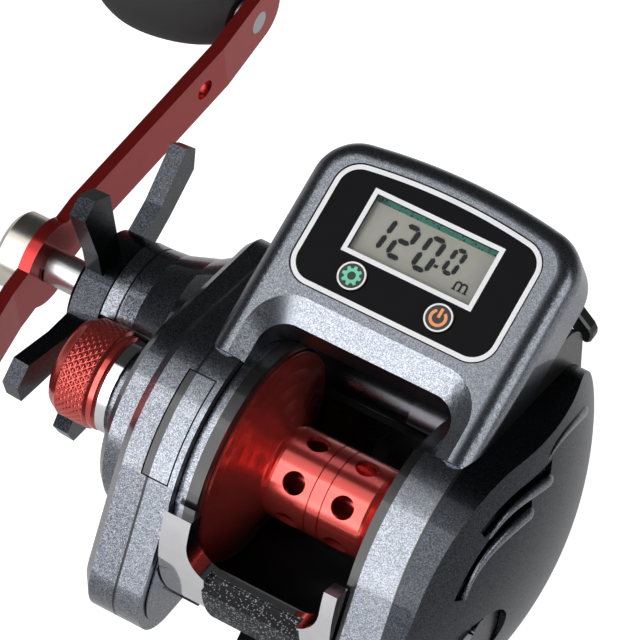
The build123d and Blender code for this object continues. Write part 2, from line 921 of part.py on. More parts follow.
def coin_cell():
    body = on_display(Pos(0, cell_y) * Circle(cell_r), cell_drop, cell_t)
    rim = [e for e in body.edges() if e.geom_type == GeomType.CIRCLE]
    return fillet(rim, cell_t / 8)


def battery_cover():
    place = Pos(0, cell_y)
    drop = housing_thick - battery_cover_t
    body = on_display(place * Circle(battery_cover_r), drop, battery_cover_t)
    slot = place * Rectangle(battery_slot_length, battery_slot)
    return body - on_display(slot, housing_thick - battery_slot / 2, battery_slot)


def housing_screws():
    screws = []
    for side in (-1, 1):
        place = Pos(side * housing_screw_x, housing_screw_y)
        head_drop = housing_thick - housing_screw_r + seat_gap
        screw = on_display(place * Circle(housing_screw_head_r), head_drop, housing_screw_r - 2 * seat_gap)
        screw += on_display(place * Circle(housing_screw_r), bay_floor + seat_gap, head_drop - bay_floor)
        screws.append(screw)
    return Compound(children=screws)


def front_hood():
    """The black hood across the front, with a rounded ear down each side."""
    tall = hood_top - hood_ear_low
    outer = Pos(0, spool_z + (hood_top + hood_ear_low) / 2) * Rectangle(2 * hood_half, tall)
    mouth_tall = hood_mouth_top - hood_ear_low
    mouth = Pos(0, spool_z + hood_mouth_top - mouth_tall) * Rectangle(2 * hood_ear_in, 2 * mouth_tall)
    face = outer - mouth
    face = fillet(face.vertices(), hood_corner_r)
    body = extrude(Plane.XZ.offset(-spool_y - hood_y) * face, amount=-hood_t)
    taken = prism(rims_outline(seat_gap), -hood_half - overrun, hood_half + overrun)
    taken += prism(housing_side(seat_gap), -hood_half - overrun, hood_half + overrun)
    return body - taken


# Spool
def flange_line():
    """The flange's inner face, curved like a horn's mouth, as (x, r) points."""
    wide = spool_half - flange_lip - barrel_half
    start_r = barrel_r - barrel_round
    tall = spool_r - flange_lip_height - start_r
    curve = [(1 - (1 - share) ** flange_curve, share) for share in curve_shares]
    return [(barrel_half + wide * across, start_r + tall * share) for across, share in curve]


def spool():
    line = flange_line()
    back = [(x + flange_wall, r) for x, r in reversed(line[:-1])]
    half = [
        (0, barrel_r),
        (barrel_half - 2 * barrel_round, barrel_r),
        (barrel_half - barrel_round, barrel_r - barrel_round / 4),
        *line,
        (spool_half - flange_lip, spool_r),
        (spool_half, spool_r),
        (spool_half, spool_r - 2 * flange_lip_height),
        *back,
        (barrel_half + flange_wall, spool_hub_r),
        (barrel_half + flange_wall, 0),
    ]
    outline = half + [(-x, r) for x, r in reversed(half[1:])]
    body = lathe(outline, spool_y, spool_z)
    hollow = barrel_half - barrel_wall
    body -= tube(spool_y, spool_z, barrel_r - barrel_wall, spool_hub_r, -hollow, hollow)
    for side in (-1, 1):
        for k in range(ports_per_row):
            turn = port_turn + full_turn * k / ports_per_row
            hole = Pos(0, 0, barrel_r - barrel_wall / 2) * Cylinder(port_r, 3 * barrel_wall)
            body -= Pos(side * port_x, spool_y, spool_z) * Rot(turn, 0, 0) * hole
        groove_x = side * barrel_groove_x
        body -= tube(
            spool_y,
            spool_z,
            barrel_r + overrun,
            barrel_r - barrel_groove,
            groove_x - barrel_groove / 2,
            groove_x + barrel_groove / 2,
        )
    end = barrel_half + flange_wall
    for side in (-1, 1):
        z = spool_z + side * count_magnet_place
        body -= rod(spool_y, z, count_magnet_r + seat_gap, end - count_magnet_t, end + overrun)
    return body - rod(spool_y, spool_z, shaft_r, -spool_half, spool_half)


def spool_magnets():
    """The two small magnets that the counter's sensor follows."""
    end = barrel_half + flange_wall - seat_gap
    places = [spool_z + side * count_magnet_place for side in (-1, 1)]
    discs = [rod(spool_y, z, count_magnet_r, end + seat_gap - count_magnet_t, end) for z in places]
    return Compound(children=discs)


def spool_shaft():
    body = rod(spool_y, spool_z, shaft_r, -shaft_cap_end, shaft_palm_end)
    return body - clutch_pin_at(clutch_pin_r + seat_gap)


def clutch_pin_at(r):
    """The cross pin that the pinion's slot takes hold of."""
    return Pos(-pinion_end_x - clutch_pin_r - side_gap, spool_y, spool_z) * Cylinder(r, 2 * clutch_pin_half)


def clutch_pin():
    return clutch_pin_at(clutch_pin_r)


def bearing(y, z, r, bore, x0, x1):
    """A shielded ball bearing: two races with a shallow step between them."""
    body = tube(y, z, r, bore, x0, x1)
    mid = (r + bore) / 2
    band = (r - bore) / 5
    step = (x1 - x0) / 8
    for low, high in ((x0 - overrun, x0 + step), (x1 - step, x1 + overrun)):
        body -= tube(y, z, mid + band, mid - band, low, high)
    return body


# Gears
def gear_face(teeth, phase):
    """A spur gear outline with straight-sided teeth; phase turns the first tooth, in degrees."""
    pitch_r = gear_module * teeth / 2
    tip_r = pitch_r + addendum_share * gear_module
    root_r = pitch_r - dedendum_share * gear_module
    half = (math.pi * gear_module / 2 - tooth_backlash) / 2
    slope = math.tan(math.radians(pressure_angle))
    tip_half = half - (tip_r - pitch_r) * slope - (tip_r - pitch_r) * (tip_r - pitch_r) / (4 * pitch_r)
    root_half = half + (pitch_r - root_r) * slope / 2
    points = []
    for k in range(teeth):
        centre = math.radians(phase + full_turn * k / teeth)
        places = ((root_r, -root_half), (pitch_r, -half), (tip_r, -tip_half))
        places += ((tip_r, tip_half), (pitch_r, half), (root_r, root_half))
        for r, offset in places:
            a = centre + offset / r
            points.append((r * math.cos(a), r * math.sin(a)))
    return make_face(Polyline(*points, close=True))


def mesh_phase(teeth, other_teeth, other_phase, bearing_angle):
    """The phase that sets a gear's gap on the other gear's tooth along the line of centres."""
    pitch = full_turn / other_teeth
    lead = (bearing_angle - other_phase) / pitch
    here = full_turn / teeth
    return bearing_angle + half_turn + here / 2 + (lead - round(lead)) * here


def drive_gear():
    inner = -drive_gear_x
    outer = -drive_gear_x - drive_gear_t
    body = prism(Pos(drive_y, drive_z) * gear_face(drive_teeth, 0), outer, inner)
    body -= rod(drive_y, drive_z, drive_cup_r, outer - overrun, inner - drive_web)
    return body - rod(drive_y, drive_z, drive_shaft_r + run_gap, outer - overrun, inner + overrun)


def pinion_gear():
    to_spool = half_turn - drive_drop_angle
    phase = mesh_phase(pinion_teeth, drive_teeth, 0, to_spool)
    body = rod(spool_y, spool_z, drive_shaft_r, -pinion_teeth_x, -pinion_end_x)
    body += prism(Pos(spool_y, spool_z) * gear_face(pinion_teeth, phase), -pinion_teeth_end, -pinion_teeth_x)
    body += rod(spool_y, spool_z, pinion_sleeve_r, -pinion_groove_x, -pinion_teeth_end)
    body += rod(spool_y, spool_z, pinion_groove_r, -pinion_groove_x - pinion_groove, -pinion_groove_x)
    body += rod(spool_y, spool_z, pinion_sleeve_r, -pinion_tail_x, -pinion_groove_x - pinion_groove)
    body -= rod(spool_y, spool_z, shaft_r + run_gap, -pinion_tail_x - overrun, -pinion_end_x + overrun)
    slot = Box(2 * pinion_slot_depth, pinion_slot, 3 * drive_shaft_r)
    return body - Pos(-pinion_end_x, spool_y, spool_z) * slot


def gear_bearings():
    """Two alike: one for the pinion, one for the drive shaft's inner end."""
    x0 = -wall_x - wall_t + seat_gap
    bore = drive_shaft_r + run_gap
    pair = [
        bearing(spool_y, spool_z, gear_bearing_r, bore, x0, x0 + gear_bearing_t),
        bearing(drive_y, drive_z, gear_bearing_r, bore, x0, x0 + gear_bearing_t),
    ]
    return Compound(children=pair)


def spool_bearings():
    """Two alike: one in the palm side's hub, one in the tension knob's stub."""
    bore = shaft_r + run_gap
    t = spool_bearing_t - seat_gap
    pair = [
        bearing(spool_y, spool_z, spool_bearing_r, bore, palm_bearing_x, palm_bearing_x + t),
        bearing(spool_y, spool_z, spool_bearing_r, bore, -cap_bearing_x - t, -cap_bearing_x),
    ]
    return Compound(children=pair)


def levelwind_drive_gear():
    face = Pos(drive_y, drive_z) * gear_face(feed_drive_teeth, 0)
    body = prism(face, -feed_gear_x - feed_gear_t, -feed_gear_x)
    return body - rod(drive_y, drive_z, drive_shaft_r, -shaft_flange_x - overrun, -wall_x)


def worm_gear():
    phase = mesh_phase(feed_worm_teeth, feed_drive_teeth, 0, -worm_drop_angle)
    face = Pos(worm_y, worm_z) * gear_face(feed_worm_teeth, phase)
    body = prism(face, -feed_gear_x - feed_gear_t, -feed_gear_x)
    return body - rod(worm_y, worm_z, worm_journal_r, -shaft_flange_x - overrun, -wall_x)


def drive_shaft():
    nut_x = arm_hub_x + arm_t + nut_t
    body = rod(drive_y, drive_z, drive_shaft_r, -nut_x, -wall_x - seat_gap)
    body += rod(drive_y, drive_z, shaft_flange_r, -shaft_flange_x - shaft_flange_t, -shaft_flange_x)
    flat = Box(arm_t + nut_t + overrun, drive_shaft_r, 3 * drive_shaft_r)
    x = arm_hub_x + (arm_t + nut_t) / 2
    for side in (-1, 1):
        body -= Pos(-x, drive_y + side * drive_shaft_r * 4 / 3, drive_z) * flat
    return body


def drag_washers():
    """Two friction washers and the metal one between them, in the drive gear's cup."""
    rings = []
    start = drive_gear_x + drive_web + seat_gap
    for k in range(washer_count):
        x = start + k * (washer_t + seat_gap)
        rings.append(tube(drive_y, drive_z, drive_cup_r - side_gap, washer_bore, -x - washer_t, -x))
    return Compound(children=rings)


def pressure_plate():
    x = plate_x()
    return tube(drive_y, drive_z, drive_cup_r - side_gap, washer_bore, -x - plate_t, -x)


def plate_x():
    """Where the stack of drag washers ends."""
    return drive_gear_x + drive_web + seat_gap + washer_count * (washer_t + seat_gap)


def drive_sleeve():
    x = plate_x() + plate_t + seat_gap
    return tube(drive_y, drive_z, sleeve_r, drive_shaft_r + run_gap, -sleeve_x, -x)


def one_way_bearing():
    x0 = -clutch_bearing_x - clutch_bearing_t
    return bearing(drive_y, drive_z, neck_bore_r - seat_gap, sleeve_r + run_gap, x0, -clutch_bearing_x)


def drag_spring_washers():
    """Two dished washers, back to back, between the sleeve and the star drag."""
    rings = []
    for k in range(2):
        near = -sleeve_x - 2 * seat_gap - k * (spring_washer_t + 3 * seat_gap)
        lean = seat_gap * (1 - 2 * k)
        outer_r = sleeve_r + rim_wall
        points = [
            (near - lean, drive_shaft_r + run_gap),
            (near + lean, outer_r),
            (near + lean - spring_washer_t, outer_r),
            (near - lean - spring_washer_t, drive_shaft_r + run_gap),
        ]
        rings.append(lathe(points, drive_y, drive_z))
    return Compound(children=rings)


def clutch_yoke():
    x0 = -pinion_groove_x - (pinion_groove + yoke_t) / 2
    face = Rectangle(2 * yoke_arm, 2 * yoke_half)
    face = fillet(face.vertices(), yoke_arm * 2 / 3)
    throat = Circle(pinion_groove_r + side_gap / 2)
    throat += Pos(-yoke_arm, 0) * Rectangle(2 * yoke_arm, 2 * pinion_groove_r + side_gap)
    face -= throat
    for side in (-1, 1):
        face -= Pos(0, side * (yoke_half - yoke_arm)) * Circle(yoke_post_r + run_gap)
    return prism(Pos(spool_y, spool_z) * face, x0, x0 + yoke_t)


def yoke_posts():
    posts = []
    far = -bulge_x + cover_wall + seat_gap
    for side in (-1, 1):
        z = spool_z + side * (yoke_half - yoke_arm)
        posts.append(rod(spool_y, z, yoke_post_r, far, -wall_x - wall_t - seat_gap))
    return Compound(children=posts)


def yoke_springs():
    """Return springs round the posts, as sleeves of their pressed length."""
    springs = []
    far = -bulge_x + cover_wall + seat_gap
    near = -pinion_groove_x - (pinion_groove + yoke_t) / 2 - yoke_travel - 2 * seat_gap
    for side in (-1, 1):
        z = spool_z + side * (yoke_half - yoke_arm)
        springs.append(tube(spool_y, z, spring_r, yoke_post_r + run_gap, far, near))
    return Compound(children=springs)


# Level wind
def worm_shaft():
    body = rod(worm_y, worm_z, worm_r, -worm_journal_x + side_gap, worm_journal_x - side_gap)
    return body + rod(worm_y, worm_z, worm_journal_r, -feed_gear_x - feed_gear_t - side_gap, worm_end_x)


def worm_bushes():
    bushes = []
    for low in (-worm_journal_x - bush_t, worm_journal_x):
        bushes.append(tube(worm_y, worm_z, bush_r, worm_journal_r + run_gap, low, low + bush_t))
    return Compound(children=bushes)


def worm_tube():
    """The fixed tube round the worm, slotted below for the pawl."""
    body = tube(worm_y, worm_z, tube_r, tube_bore, -ring_x + seat_gap, ring_x - seat_gap)
    slot = Box(2 * (carriage_span() + pawl_r), tube_slot, 2 * tube_r)
    return body - Pos(carriage_middle(), worm_y, worm_z - tube_r) * slot


def carriage_span():
    return (carriage_travel_left + carriage_travel_right) / 2


def carriage_middle():
    return carriage_x + (carriage_travel_right - carriage_travel_left) / 2


def line_guide():
    """The carriage round the tube, with the post that holds the guide eye."""
    x0 = carriage_x - carriage_half
    x1 = carriage_x + carriage_half
    body = rod(worm_y, worm_z, carriage_r, x0, x1)
    low = rod_dz - rod_r - pawl_cap_t
    foot = Pos(worm_y, worm_z + low / 2) * Rectangle(2 * pawl_cap_r + eye_wall, -low)
    body += prism(foot, x0, x1)
    post = Pos(worm_y + post_y, worm_z + post_top / 2) * Rectangle(post_t, post_top + carriage_r)
    body += prism(post, x0, x1)
    tower_half = eye_half_width + 2 * eye_wall
    tower = Pos(worm_y + post_y, eye_z()) * Rectangle(post_t, 2 * (eye_half_height + 2 * eye_wall))
    body += prism(tower, carriage_x - tower_half, carriage_x + tower_half)
    body -= rod(worm_y, worm_z, tube_r + carriage_gap, x0 - overrun, x1 + overrun)
    body -= rod(worm_y + rod_dy, worm_z + rod_dz, rod_r + run_gap, x0 - overrun, x1 + overrun)
    body -= extrude(eye_slot(eye_wall + seat_gap), amount=eye_depth, both=True)
    return body - pawl_well(seat_gap)


def eye_slot(grow):
    """An upright slot at the guide eye's place, wider than the eye's hole all round by grow."""
    upright = Plane(origin=(carriage_x, worm_y + post_y, eye_z()), x_dir=(0, 0, 1), z_dir=(0, 1, 0))
    return upright * SlotOverall(2 * (eye_half_height + grow), 2 * (eye_half_width + grow))


def eye_z():
    return worm_z + tube_r + carriage_gap + eye_wall + eye_half_height


def guide_eye():
    return extrude(eye_slot(eye_wall) - eye_slot(0), amount=eye_depth / 2, both=True)


def pawl_well(gap):
    base = worm_z + rod_dz - rod_r - pawl_cap_t - overrun
    top = worm_z - tube_bore
    shaft = Pos(carriage_x, worm_y, (base + top) / 2) * Cylinder(pawl_r + gap, top - base)
    head = pawl_cap_t + overrun
    return shaft + Pos(carriage_x, worm_y, base + head / 2) * Cylinder(pawl_cap_r + gap, head)


def guide_pawl():
    base = worm_z + rod_dz - rod_r + seat_gap
    top = worm_z - worm_r - run_gap
    return Pos(carriage_x, worm_y, (base + top) / 2) * Cylinder(pawl_r, top - base)


def pawl_cap():
    base = worm_z + rod_dz - rod_r - pawl_cap_t
    body = Pos(carriage_x, worm_y, base + pawl_cap_t / 2) * Cylinder(pawl_cap_r, pawl_cap_t)
    slot = Pos(carriage_x, worm_y, base) * Box(2 * pawl_cap_r, eye_wall, pawl_cap_t / 2)
    return body - slot


def guide_rod():
    return rod(worm_y + rod_dy, worm_z + rod_dz, rod_r, -wall_x - overrun / 4, wall_x + overrun / 4)


# Tension knob
def tension_knob():
    rim_end = knob_start_x + knob_rim
    step = knob_r - knob_rim_r
    points = [
        (-knob_start_x, 0),
        (-knob_start_x, knob_rim_r - step),
        (-knob_start_x - step, knob_rim_r),
        (-rim_end, knob_rim_r),
        (-rim_end, knob_rim_r - step),
        (-rim_end - step, knob_r),
        (-knob_end_x + 2 * knob_round, knob_r),
        (-knob_end_x + knob_round / 2, knob_nose_r),
        (-knob_end_x, knob_nose_r - knob_round / 2),
        (-knob_end_x, 0),
    ]
    body = lathe(points, spool_y, spool_z)
    bore_r = tension_stub_r + run_gap
    return body - rod(spool_y, spool_z, bore_r, -knob_end_x + knob_wall, -knob_start_x + overrun)


# Star drag
def star_arm(turn):
    """One paddle: a root on the hub, then a tip that leans out towards the handle."""
    root = Plane.YZ.offset(-star_arm_x - star_arm_t) * Pos((star_hub_r + star_bend_r) / 2 - star_arm_t, 0)
    inner = root * Rectangle(star_bend_r - star_hub_r + 2 * star_arm_t, 2 * star_arm_root_half)
    body = extrude(inner, amount=star_arm_t)
    lean = math.degrees(math.atan2(star_tip_x - star_arm_x, star_reach - star_bend_r))
    length = math.hypot(star_tip_x - star_arm_x, star_reach - star_bend_r)
    paddle = make_face(
        Polyline(
            (0, -star_arm_root_half),
            (length - star_sweep, -star_arm_tip_half),
            (length, 0),
            (length - star_sweep / 2, star_arm_tip_half),
            (0, star_arm_root_half),
            close=True,
        )
    )
    tip = extrude(Plane.YZ * paddle, amount=-star_arm_t)
    body += Pos(-star_arm_x, star_bend_r, 0) * Rot(0, 0, lean) * tip
    return Pos(0, drive_y, drive_z) * Rot(turn, 0, 0) * body


def star_drag():
    points = [
        (-star_hub_x, 0),
        (-star_hub_x, star_hub_r),
        (-star_arm_x - star_arm_t, star_hub_r),
        (-star_hub_end + star_hub_bevel, star_hub_r - star_hub_bevel),
        (-star_hub_end, star_hub_r - 2 * star_hub_bevel),
        (-star_hub_end, 0),
    ]
    body = lathe(points, drive_y, drive_z)
    for k in range(star_arms):
        body += star_arm(star_arm_turn + full_turn * k / star_arms)
    through = star_hub_end + overrun
    return body - rod(drive_y, drive_z, drive_shaft_r + run_gap, -through, -star_hub_x + overrun)


# Handle
def handle_arm():
    """The swept plate: its side line is bent, its plan is waisted."""
    low = arm_hub_x - arm_drop
    line = [
        (-low, -arm_half),
        (-low, -arm_bend_end),
        (-arm_hub_x, -arm_bend_start),
        (-arm_hub_x, arm_bend_start),
        (-low, arm_bend_end),
        (-low, arm_half),
    ]
    back = [(x - arm_t, y) for x, y in reversed(line)]
    side = make_face(Polyline(*line, *back, close=True))
    strip = extrude(Plane.XY * side, amount=arm_hub_r, both=True)
    ends = []
    for sign in (-1, 1):
        ends += (Pos(sign * (arm_half - arm_half_width), 0) * Circle(arm_half_width)).edges()
    plan = make_hull(ends) + Circle(arm_hub_r)
    mask = extrude(Plane.YZ * plan, amount=2 * arm_hub_x, both=True)
    body = strip & mask
    bore = extrude(Plane.YZ * Circle(drive_shaft_r + seat_gap), amount=2 * arm_hub_x, both=True)
    body -= bore
    for sign in (-1, 1):
        for y, r in ((arm_hole_y, arm_hole_r), (knob_centre, spindle_r)):
            body -= extrude(Plane.YZ * Pos(sign * y, 0) * Circle(r), amount=2 * arm_hub_x, both=True)
    return Pos(0, drive_y, drive_z) * Rot(arm_turn, 0, 0) * body


def arm_outer_x():
    return arm_hub_x - arm_drop + arm_t


def knob_place(sign):
    """Where a handle knob's axis lies at rest."""
    a = math.radians(arm_turn)
    return drive_y + sign * knob_centre * math.cos(a), drive_z + sign * knob_centre * math.sin(a)


def knob_spindles():
    pins = []
    for sign in (-1, 1):
        y, z = knob_place(sign)
        start = arm_outer_x() - arm_t
        end = arm_outer_x() + spindle_foot + grip_length - grip_cap_t - side_gap
        pin = rod(y, z, spindle_r, -end, -start)
        pin += rod(y, z, spindle_foot_r, -arm_outer_x() - spindle_foot, -arm_outer_x() - seat_gap)
        pins.append(pin)
    return Compound(children=pins)


def handle_knob(sign):
    y, z = knob_place(sign)
    start = arm_outer_x() + spindle_foot + side_gap
    end = start + grip_length
    span = end - start
    radii = (grip_neck_r, grip_waist_r, grip_r, grip_r, grip_waist_r, grip_neck_r)
    curve = Spline(*[(-(start + span * share), r) for share, r in zip(grip_shares, radii)])
    lines = Polyline((-start, grip_neck_r), (-start, 0), (-end, 0), (-end, grip_neck_r))
    face = make_face([curve, *lines.edges()])
    body = Pos(0, y, z) * revolve(face, Axis.X)
    return body - rod(y, z, spindle_r + run_gap, -end + grip_cap_t, -start + overrun)


def handle_nut():
    x = arm_hub_x + arm_t + seat_gap
    face = RegularPolygon(nut_r, hex_sides)
    body = prism(Pos(drive_y, drive_z) * face, -x - nut_t, -x)
    return body - rod(drive_y, drive_z, drive_shaft_r + seat_gap, -x - nut_t - overrun, -x + overrun)


def nut_cap():
    x = arm_hub_x + arm_t + seat_gap
    points = [
        (-x, nut_cap_r - nut_cap_wall),
        (-x, nut_cap_r),
        (-x - nut_cap_t + nut_cap_wall, nut_cap_r),
        (-x - nut_cap_t, nut_cap_r - nut_cap_wall),
        (-x - nut_cap_t, 0),
        (-x - nut_cap_t + nut_cap_wall, 0),
        (-x - nut_cap_t + nut_cap_wall, nut_cap_r - nut_cap_wall),
    ]
    return lathe(points, drive_y, drive_z)


# Thumb bar
def thumb_bar():
    face = sector(thumb_r + thumb_t, thumb_r, thumb_start, thumb_end)
    body = prism(face, -thumb_left, thumb_right) - thumb_scoop()
    turn = pad_gap_turn()
    floor_r = thumb_r + thumb_t - pad_sink
    pocket = sector(thumb_r + thumb_t + overrun, floor_r, thumb_start, pad_end + turn)
    return body - prism(pocket, -pad_half - seat_gap, pad_half + seat_gap)


def thumb_scoop():
    """The round-cornered dip between the bar's two raised ends."""
    low = spool_z + thumb_r * math.sin(math.radians(thumb_low_start))
    dip = Pos(0, low + thumb_r) * Rectangle(2 * thumb_scoop_half, 2 * thumb_r)
    return extrude(Plane.XZ * fillet(dip.vertices(), thumb_scoop_r), amount=2 * thumb_r)


def pad_gap_turn():
    return math.degrees(seat_gap / thumb_r)


def thumb_pad():
    face = sector(thumb_r + thumb_t + pad_proud, thumb_r + thumb_t - pad_sink + seat_gap, pad_start, pad_end)
    return prism(face, -pad_half, pad_half)


def main():
    os.makedirs("parts", exist_ok=True)
    save("frame", frame())
    save("reel_foot", reel_foot())
    save("foot_screws", foot_screws())
    save("inset_cover", inset_cover())
    save("worm_shield", worm_shield())
    save("handle_side_cover", handle_side_cover())
    save("side_screws", side_screws())
    save("tension_collar", tension_collar())
    save("palm_side_cover", palm_side_cover())
    save("brake_dial", brake_dial())
    save("counter_housing", counter_housing())
    save("label_panel", label_panel())
    save("lcd_lens", lcd_lens())
    save("lcd_module", lcd_module())
    save("circuit_board", circuit_board())
    save("mode_button", button(-1))
    save("power_button", button(1))
    save("coin_cell", coin_cell())
    save("battery_cover", battery_cover())
    save("housing_screws", housing_screws())
    save("front_hood", front_hood())
    save("spool", spool())
    save("spool_shaft", spool_shaft())
    save("clutch_pin", clutch_pin())
    save("spool_bearings", spool_bearings())
    save("spool_magnets", spool_magnets())
    save("gear_bearings", gear_bearings())
    save("magnet_ring", magnet_ring())
    save("brake_magnets", brake_magnets())
    save("drive_gear", drive_gear())
    save("pinion_gear", pinion_gear())
    save("levelwind_drive_gear", levelwind_drive_gear())
    save("worm_gear", worm_gear())
    save("drive_shaft", drive_shaft())
    save("drag_washers", drag_washers())
    save("pressure_plate", pressure_plate())
    save("drive_sleeve", drive_sleeve())
    save("one_way_bearing", one_way_bearing())
    save("drag_spring_washers", drag_spring_washers())
    save("clutch_yoke", clutch_yoke())
    save("yoke_posts", yoke_posts())
    save("yoke_springs", yoke_springs())
    save("worm_shaft", worm_shaft())
    save("worm_bushes", worm_bushes())
    save("worm_tube", worm_tube())
    save("line_guide", line_guide())
    save("guide_eye", guide_eye())
    save("guide_pawl", guide_pawl())
    save("pawl_cap", pawl_cap())
    save("guide_rod", guide_rod())
    save("tension_knob", tension_knob())
    save("star_drag", star_drag())
    save("handle_arm", handle_arm())
    save("knob_spindles", knob_spindles())
    save("handle_knob_front", handle_knob(1))
    save("handle_knob_rear", handle_knob(-1))
    save("handle_nut", handle_nut())
    save("nut_cap", nut_cap())
    save("thumb_bar", thumb_bar())
    save("thumb_pad", thumb_pad())


main()
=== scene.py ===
import math

import bpy
import numpy as np
from mathutils import Matrix, Vector


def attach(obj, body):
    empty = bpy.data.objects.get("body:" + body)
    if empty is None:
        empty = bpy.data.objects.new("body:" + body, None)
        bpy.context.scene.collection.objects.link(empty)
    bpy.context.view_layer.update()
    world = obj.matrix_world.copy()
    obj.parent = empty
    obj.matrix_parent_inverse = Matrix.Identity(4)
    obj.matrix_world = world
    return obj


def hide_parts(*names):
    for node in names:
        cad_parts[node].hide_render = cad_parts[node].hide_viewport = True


# The looks of a digital baitcasting reel: finishes for the CAD's pieces, new surfaces for the printed
# signs, the knurled knob, the hood and the louvres' lips, and a pale studio with the photograph's view.
# As in the CAD, X runs along the spool towards the palm side, Y towards the rod's tip and Z up.
MM = 0.001
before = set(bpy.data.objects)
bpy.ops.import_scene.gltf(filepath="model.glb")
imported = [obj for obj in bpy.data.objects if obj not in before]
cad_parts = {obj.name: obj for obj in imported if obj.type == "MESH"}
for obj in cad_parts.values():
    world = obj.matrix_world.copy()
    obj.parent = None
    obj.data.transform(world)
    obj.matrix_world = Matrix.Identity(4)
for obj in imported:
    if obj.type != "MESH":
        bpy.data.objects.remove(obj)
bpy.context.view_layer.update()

# Places in mm that the CAD gives. HANDLE_REACH is a little more than the radius that the knobs sweep.
SPOOL_Y, SPOOL_Z = -3.0, 23.0
WORM_Y, WORM_Z = 22.742, 17.65
DRIVE_Z, HANDLE_REACH = 20.954, 69.0
# INNER_X bounds the shade painted on the frame's inside, and the last number is the width in mm of the shadow
# painted along the parting lines
RIM_X, INNER_X, PAINTED_SHADOW = 21.7, 15.4, 0.22
PALM_RADIUS, PALM_MIDDLE = 60.0, (-27.0, SPOOL_Y + 7.0, SPOOL_Z - 1.5)

# The display panel's plane, which leans back towards the angler
PANEL_LEAN = math.radians(25.75)
PANEL_MIDDLE = np.array((-0.45, SPOOL_Y + 22.9, SPOOL_Z + 34.5))
PANEL_RIGHT = np.array((1.0, 0.0, 0.0))
PANEL_UP = np.array((0.0, math.cos(PANEL_LEAN), math.sin(PANEL_LEAN)))
PANEL_OUT = np.array((0.0, -math.sin(PANEL_LEAN), math.cos(PANEL_LEAN)))
LCD_TOP, LABEL_TOP, BUTTON_TOP = -1.42, -0.1, 0.35
BUTTON_X, BUTTON_Y = 7.6, -8.6

# Seven-segment digits: corners as (column, half heights up), and the two corners that each bar joins
CORNERS = {"tl": (0, 2), "tr": (1, 2), "ml": (0, 1), "mr": (1, 1), "bl": (0, 0), "br": (1, 0)}
BARS = {"a": "tl tr", "b": "tr mr", "c": "mr br", "d": "bl br", "e": "ml bl", "f": "tl ml", "g": "ml mr"}

# The raised lips beside the palm cover's louvres: points (y, z) from the upper end down, and half widths
LOUVRES = (
    ("louvre_lip_upper", ((24.5, 34.4), (16.4, 38.8), (10.8, 40.3), (7.9, 40.0)), 0.75),
    (
        "louvre_lip_middle",
        ((8.0, 36.6), (3.1, 38.1), (-1.0, 39.3), (-3.7, 39.3), (-6.5, 38.7), (-8.7, 37.8)),
        1.0,
    ),
    (
        "louvre_lip_lower",
        ((1.4, 35.5), (-2.3, 36.4), (-7.5, 35.9), (-10.8, 34.7), (-12.5, 33.2), (-15.0, 29.5)),
        1.1,
    ),
)

# Half of the hood's outline, as (x, z) from the spool's axis: down its side, round the ear, and in underneath
HOOD_SIDE = ((20.4, 28.6), (20.2, 23.9), (23.6, 20.7), (24.1, 19.8), (24.15, 18.8), (23.9, 17.8))
HOOD_UNDER = ((23.3, 17.2), (22.6, 17.3), (21.8, 17.9), (20.3, 19.3), (19.3, 20.2), (18.2, 20.6))

# Lamps: name, direction from the reel, width and height in metres, and glow
LAMPS = (
    ("rear_box", (-0.31, -0.82, 0.48), (0.55, 1.35), 3.3),
    ("high_box", (-0.36, -0.24, 0.90), (0.50, 0.50), 1.3),
    ("side_box", (0.72, -0.62, 0.28), (0.40, 0.50), 3.2),
    ("right_box", (0.88, -0.02, 0.48), (0.60, 0.60), 1.5),
)


# Shader maths
class Value:
    """A socket in a node tree: a sum or product with it adds a Math node."""

    def __init__(self, graph, socket):
        self.graph, self.socket = graph, socket

    def joined(self, operation, *others):
        inputs = dict(enumerate((self, *others)))
        return self.graph.node("ShaderNodeMath", {"operation": operation}, inputs)

    def __add__(self, other):
        return self.joined("ADD", other)

    def __mul__(self, other):
        return self.joined("MULTIPLY", other)

    def __sub__(self, other):
        return self.joined("SUBTRACT", other)

    def __rsub__(self, other):
        return self.graph.node("ShaderNodeMath", {"operation": "SUBTRACT"}, {0: other, 1: self})

    def __truediv__(self, other):
        return self.joined("DIVIDE", other)

    def __pow__(self, other):
        return self.joined("POWER", other)

    def __gt__(self, other):
        return self.joined("GREATER_THAN", other)

    __radd__ = __add__
    __rmul__ = __mul__


class Graph:
    """A node tree that is built from values."""

    def __init__(self, tree):
        self.tree = tree

    def plug(self, socket, value):
        """Link a value to a socket, or set the socket to a number, vector or colour."""
        if isinstance(value, Value):
            self.tree.links.new(value.socket, socket)
        elif isinstance(value, (tuple, list)) and socket.type == "RGBA" and len(value) == 3:
            socket.default_value = (*value, 1.0)
        else:
            socket.default_value = value

    def node(self, kind, settings, inputs, output=0):
        """Any node: its settings first, then the values or links of its sockets."""
        made = self.tree.nodes.new(kind)
        for name, value in settings.items():
            if name == "stops":
                ramp = made.color_ramp.elements
                while len(ramp) < len(value):
                    ramp.new(0.5)
                for stop, (place, shade) in zip(ramp, value):
                    stop.position = place
                    stop.color = (*shade, 1.0)
            else:
                setattr(made, name, value)
        for key, value in inputs.items():
            self.plug(made.inputs[key], value)
        return Value(self, made.outputs[output])

    def ray(self, name):
        """One if the ray is of the named kind."""
        return self.node("ShaderNodeLightPath", {}, {}, f"Is {name} Ray")


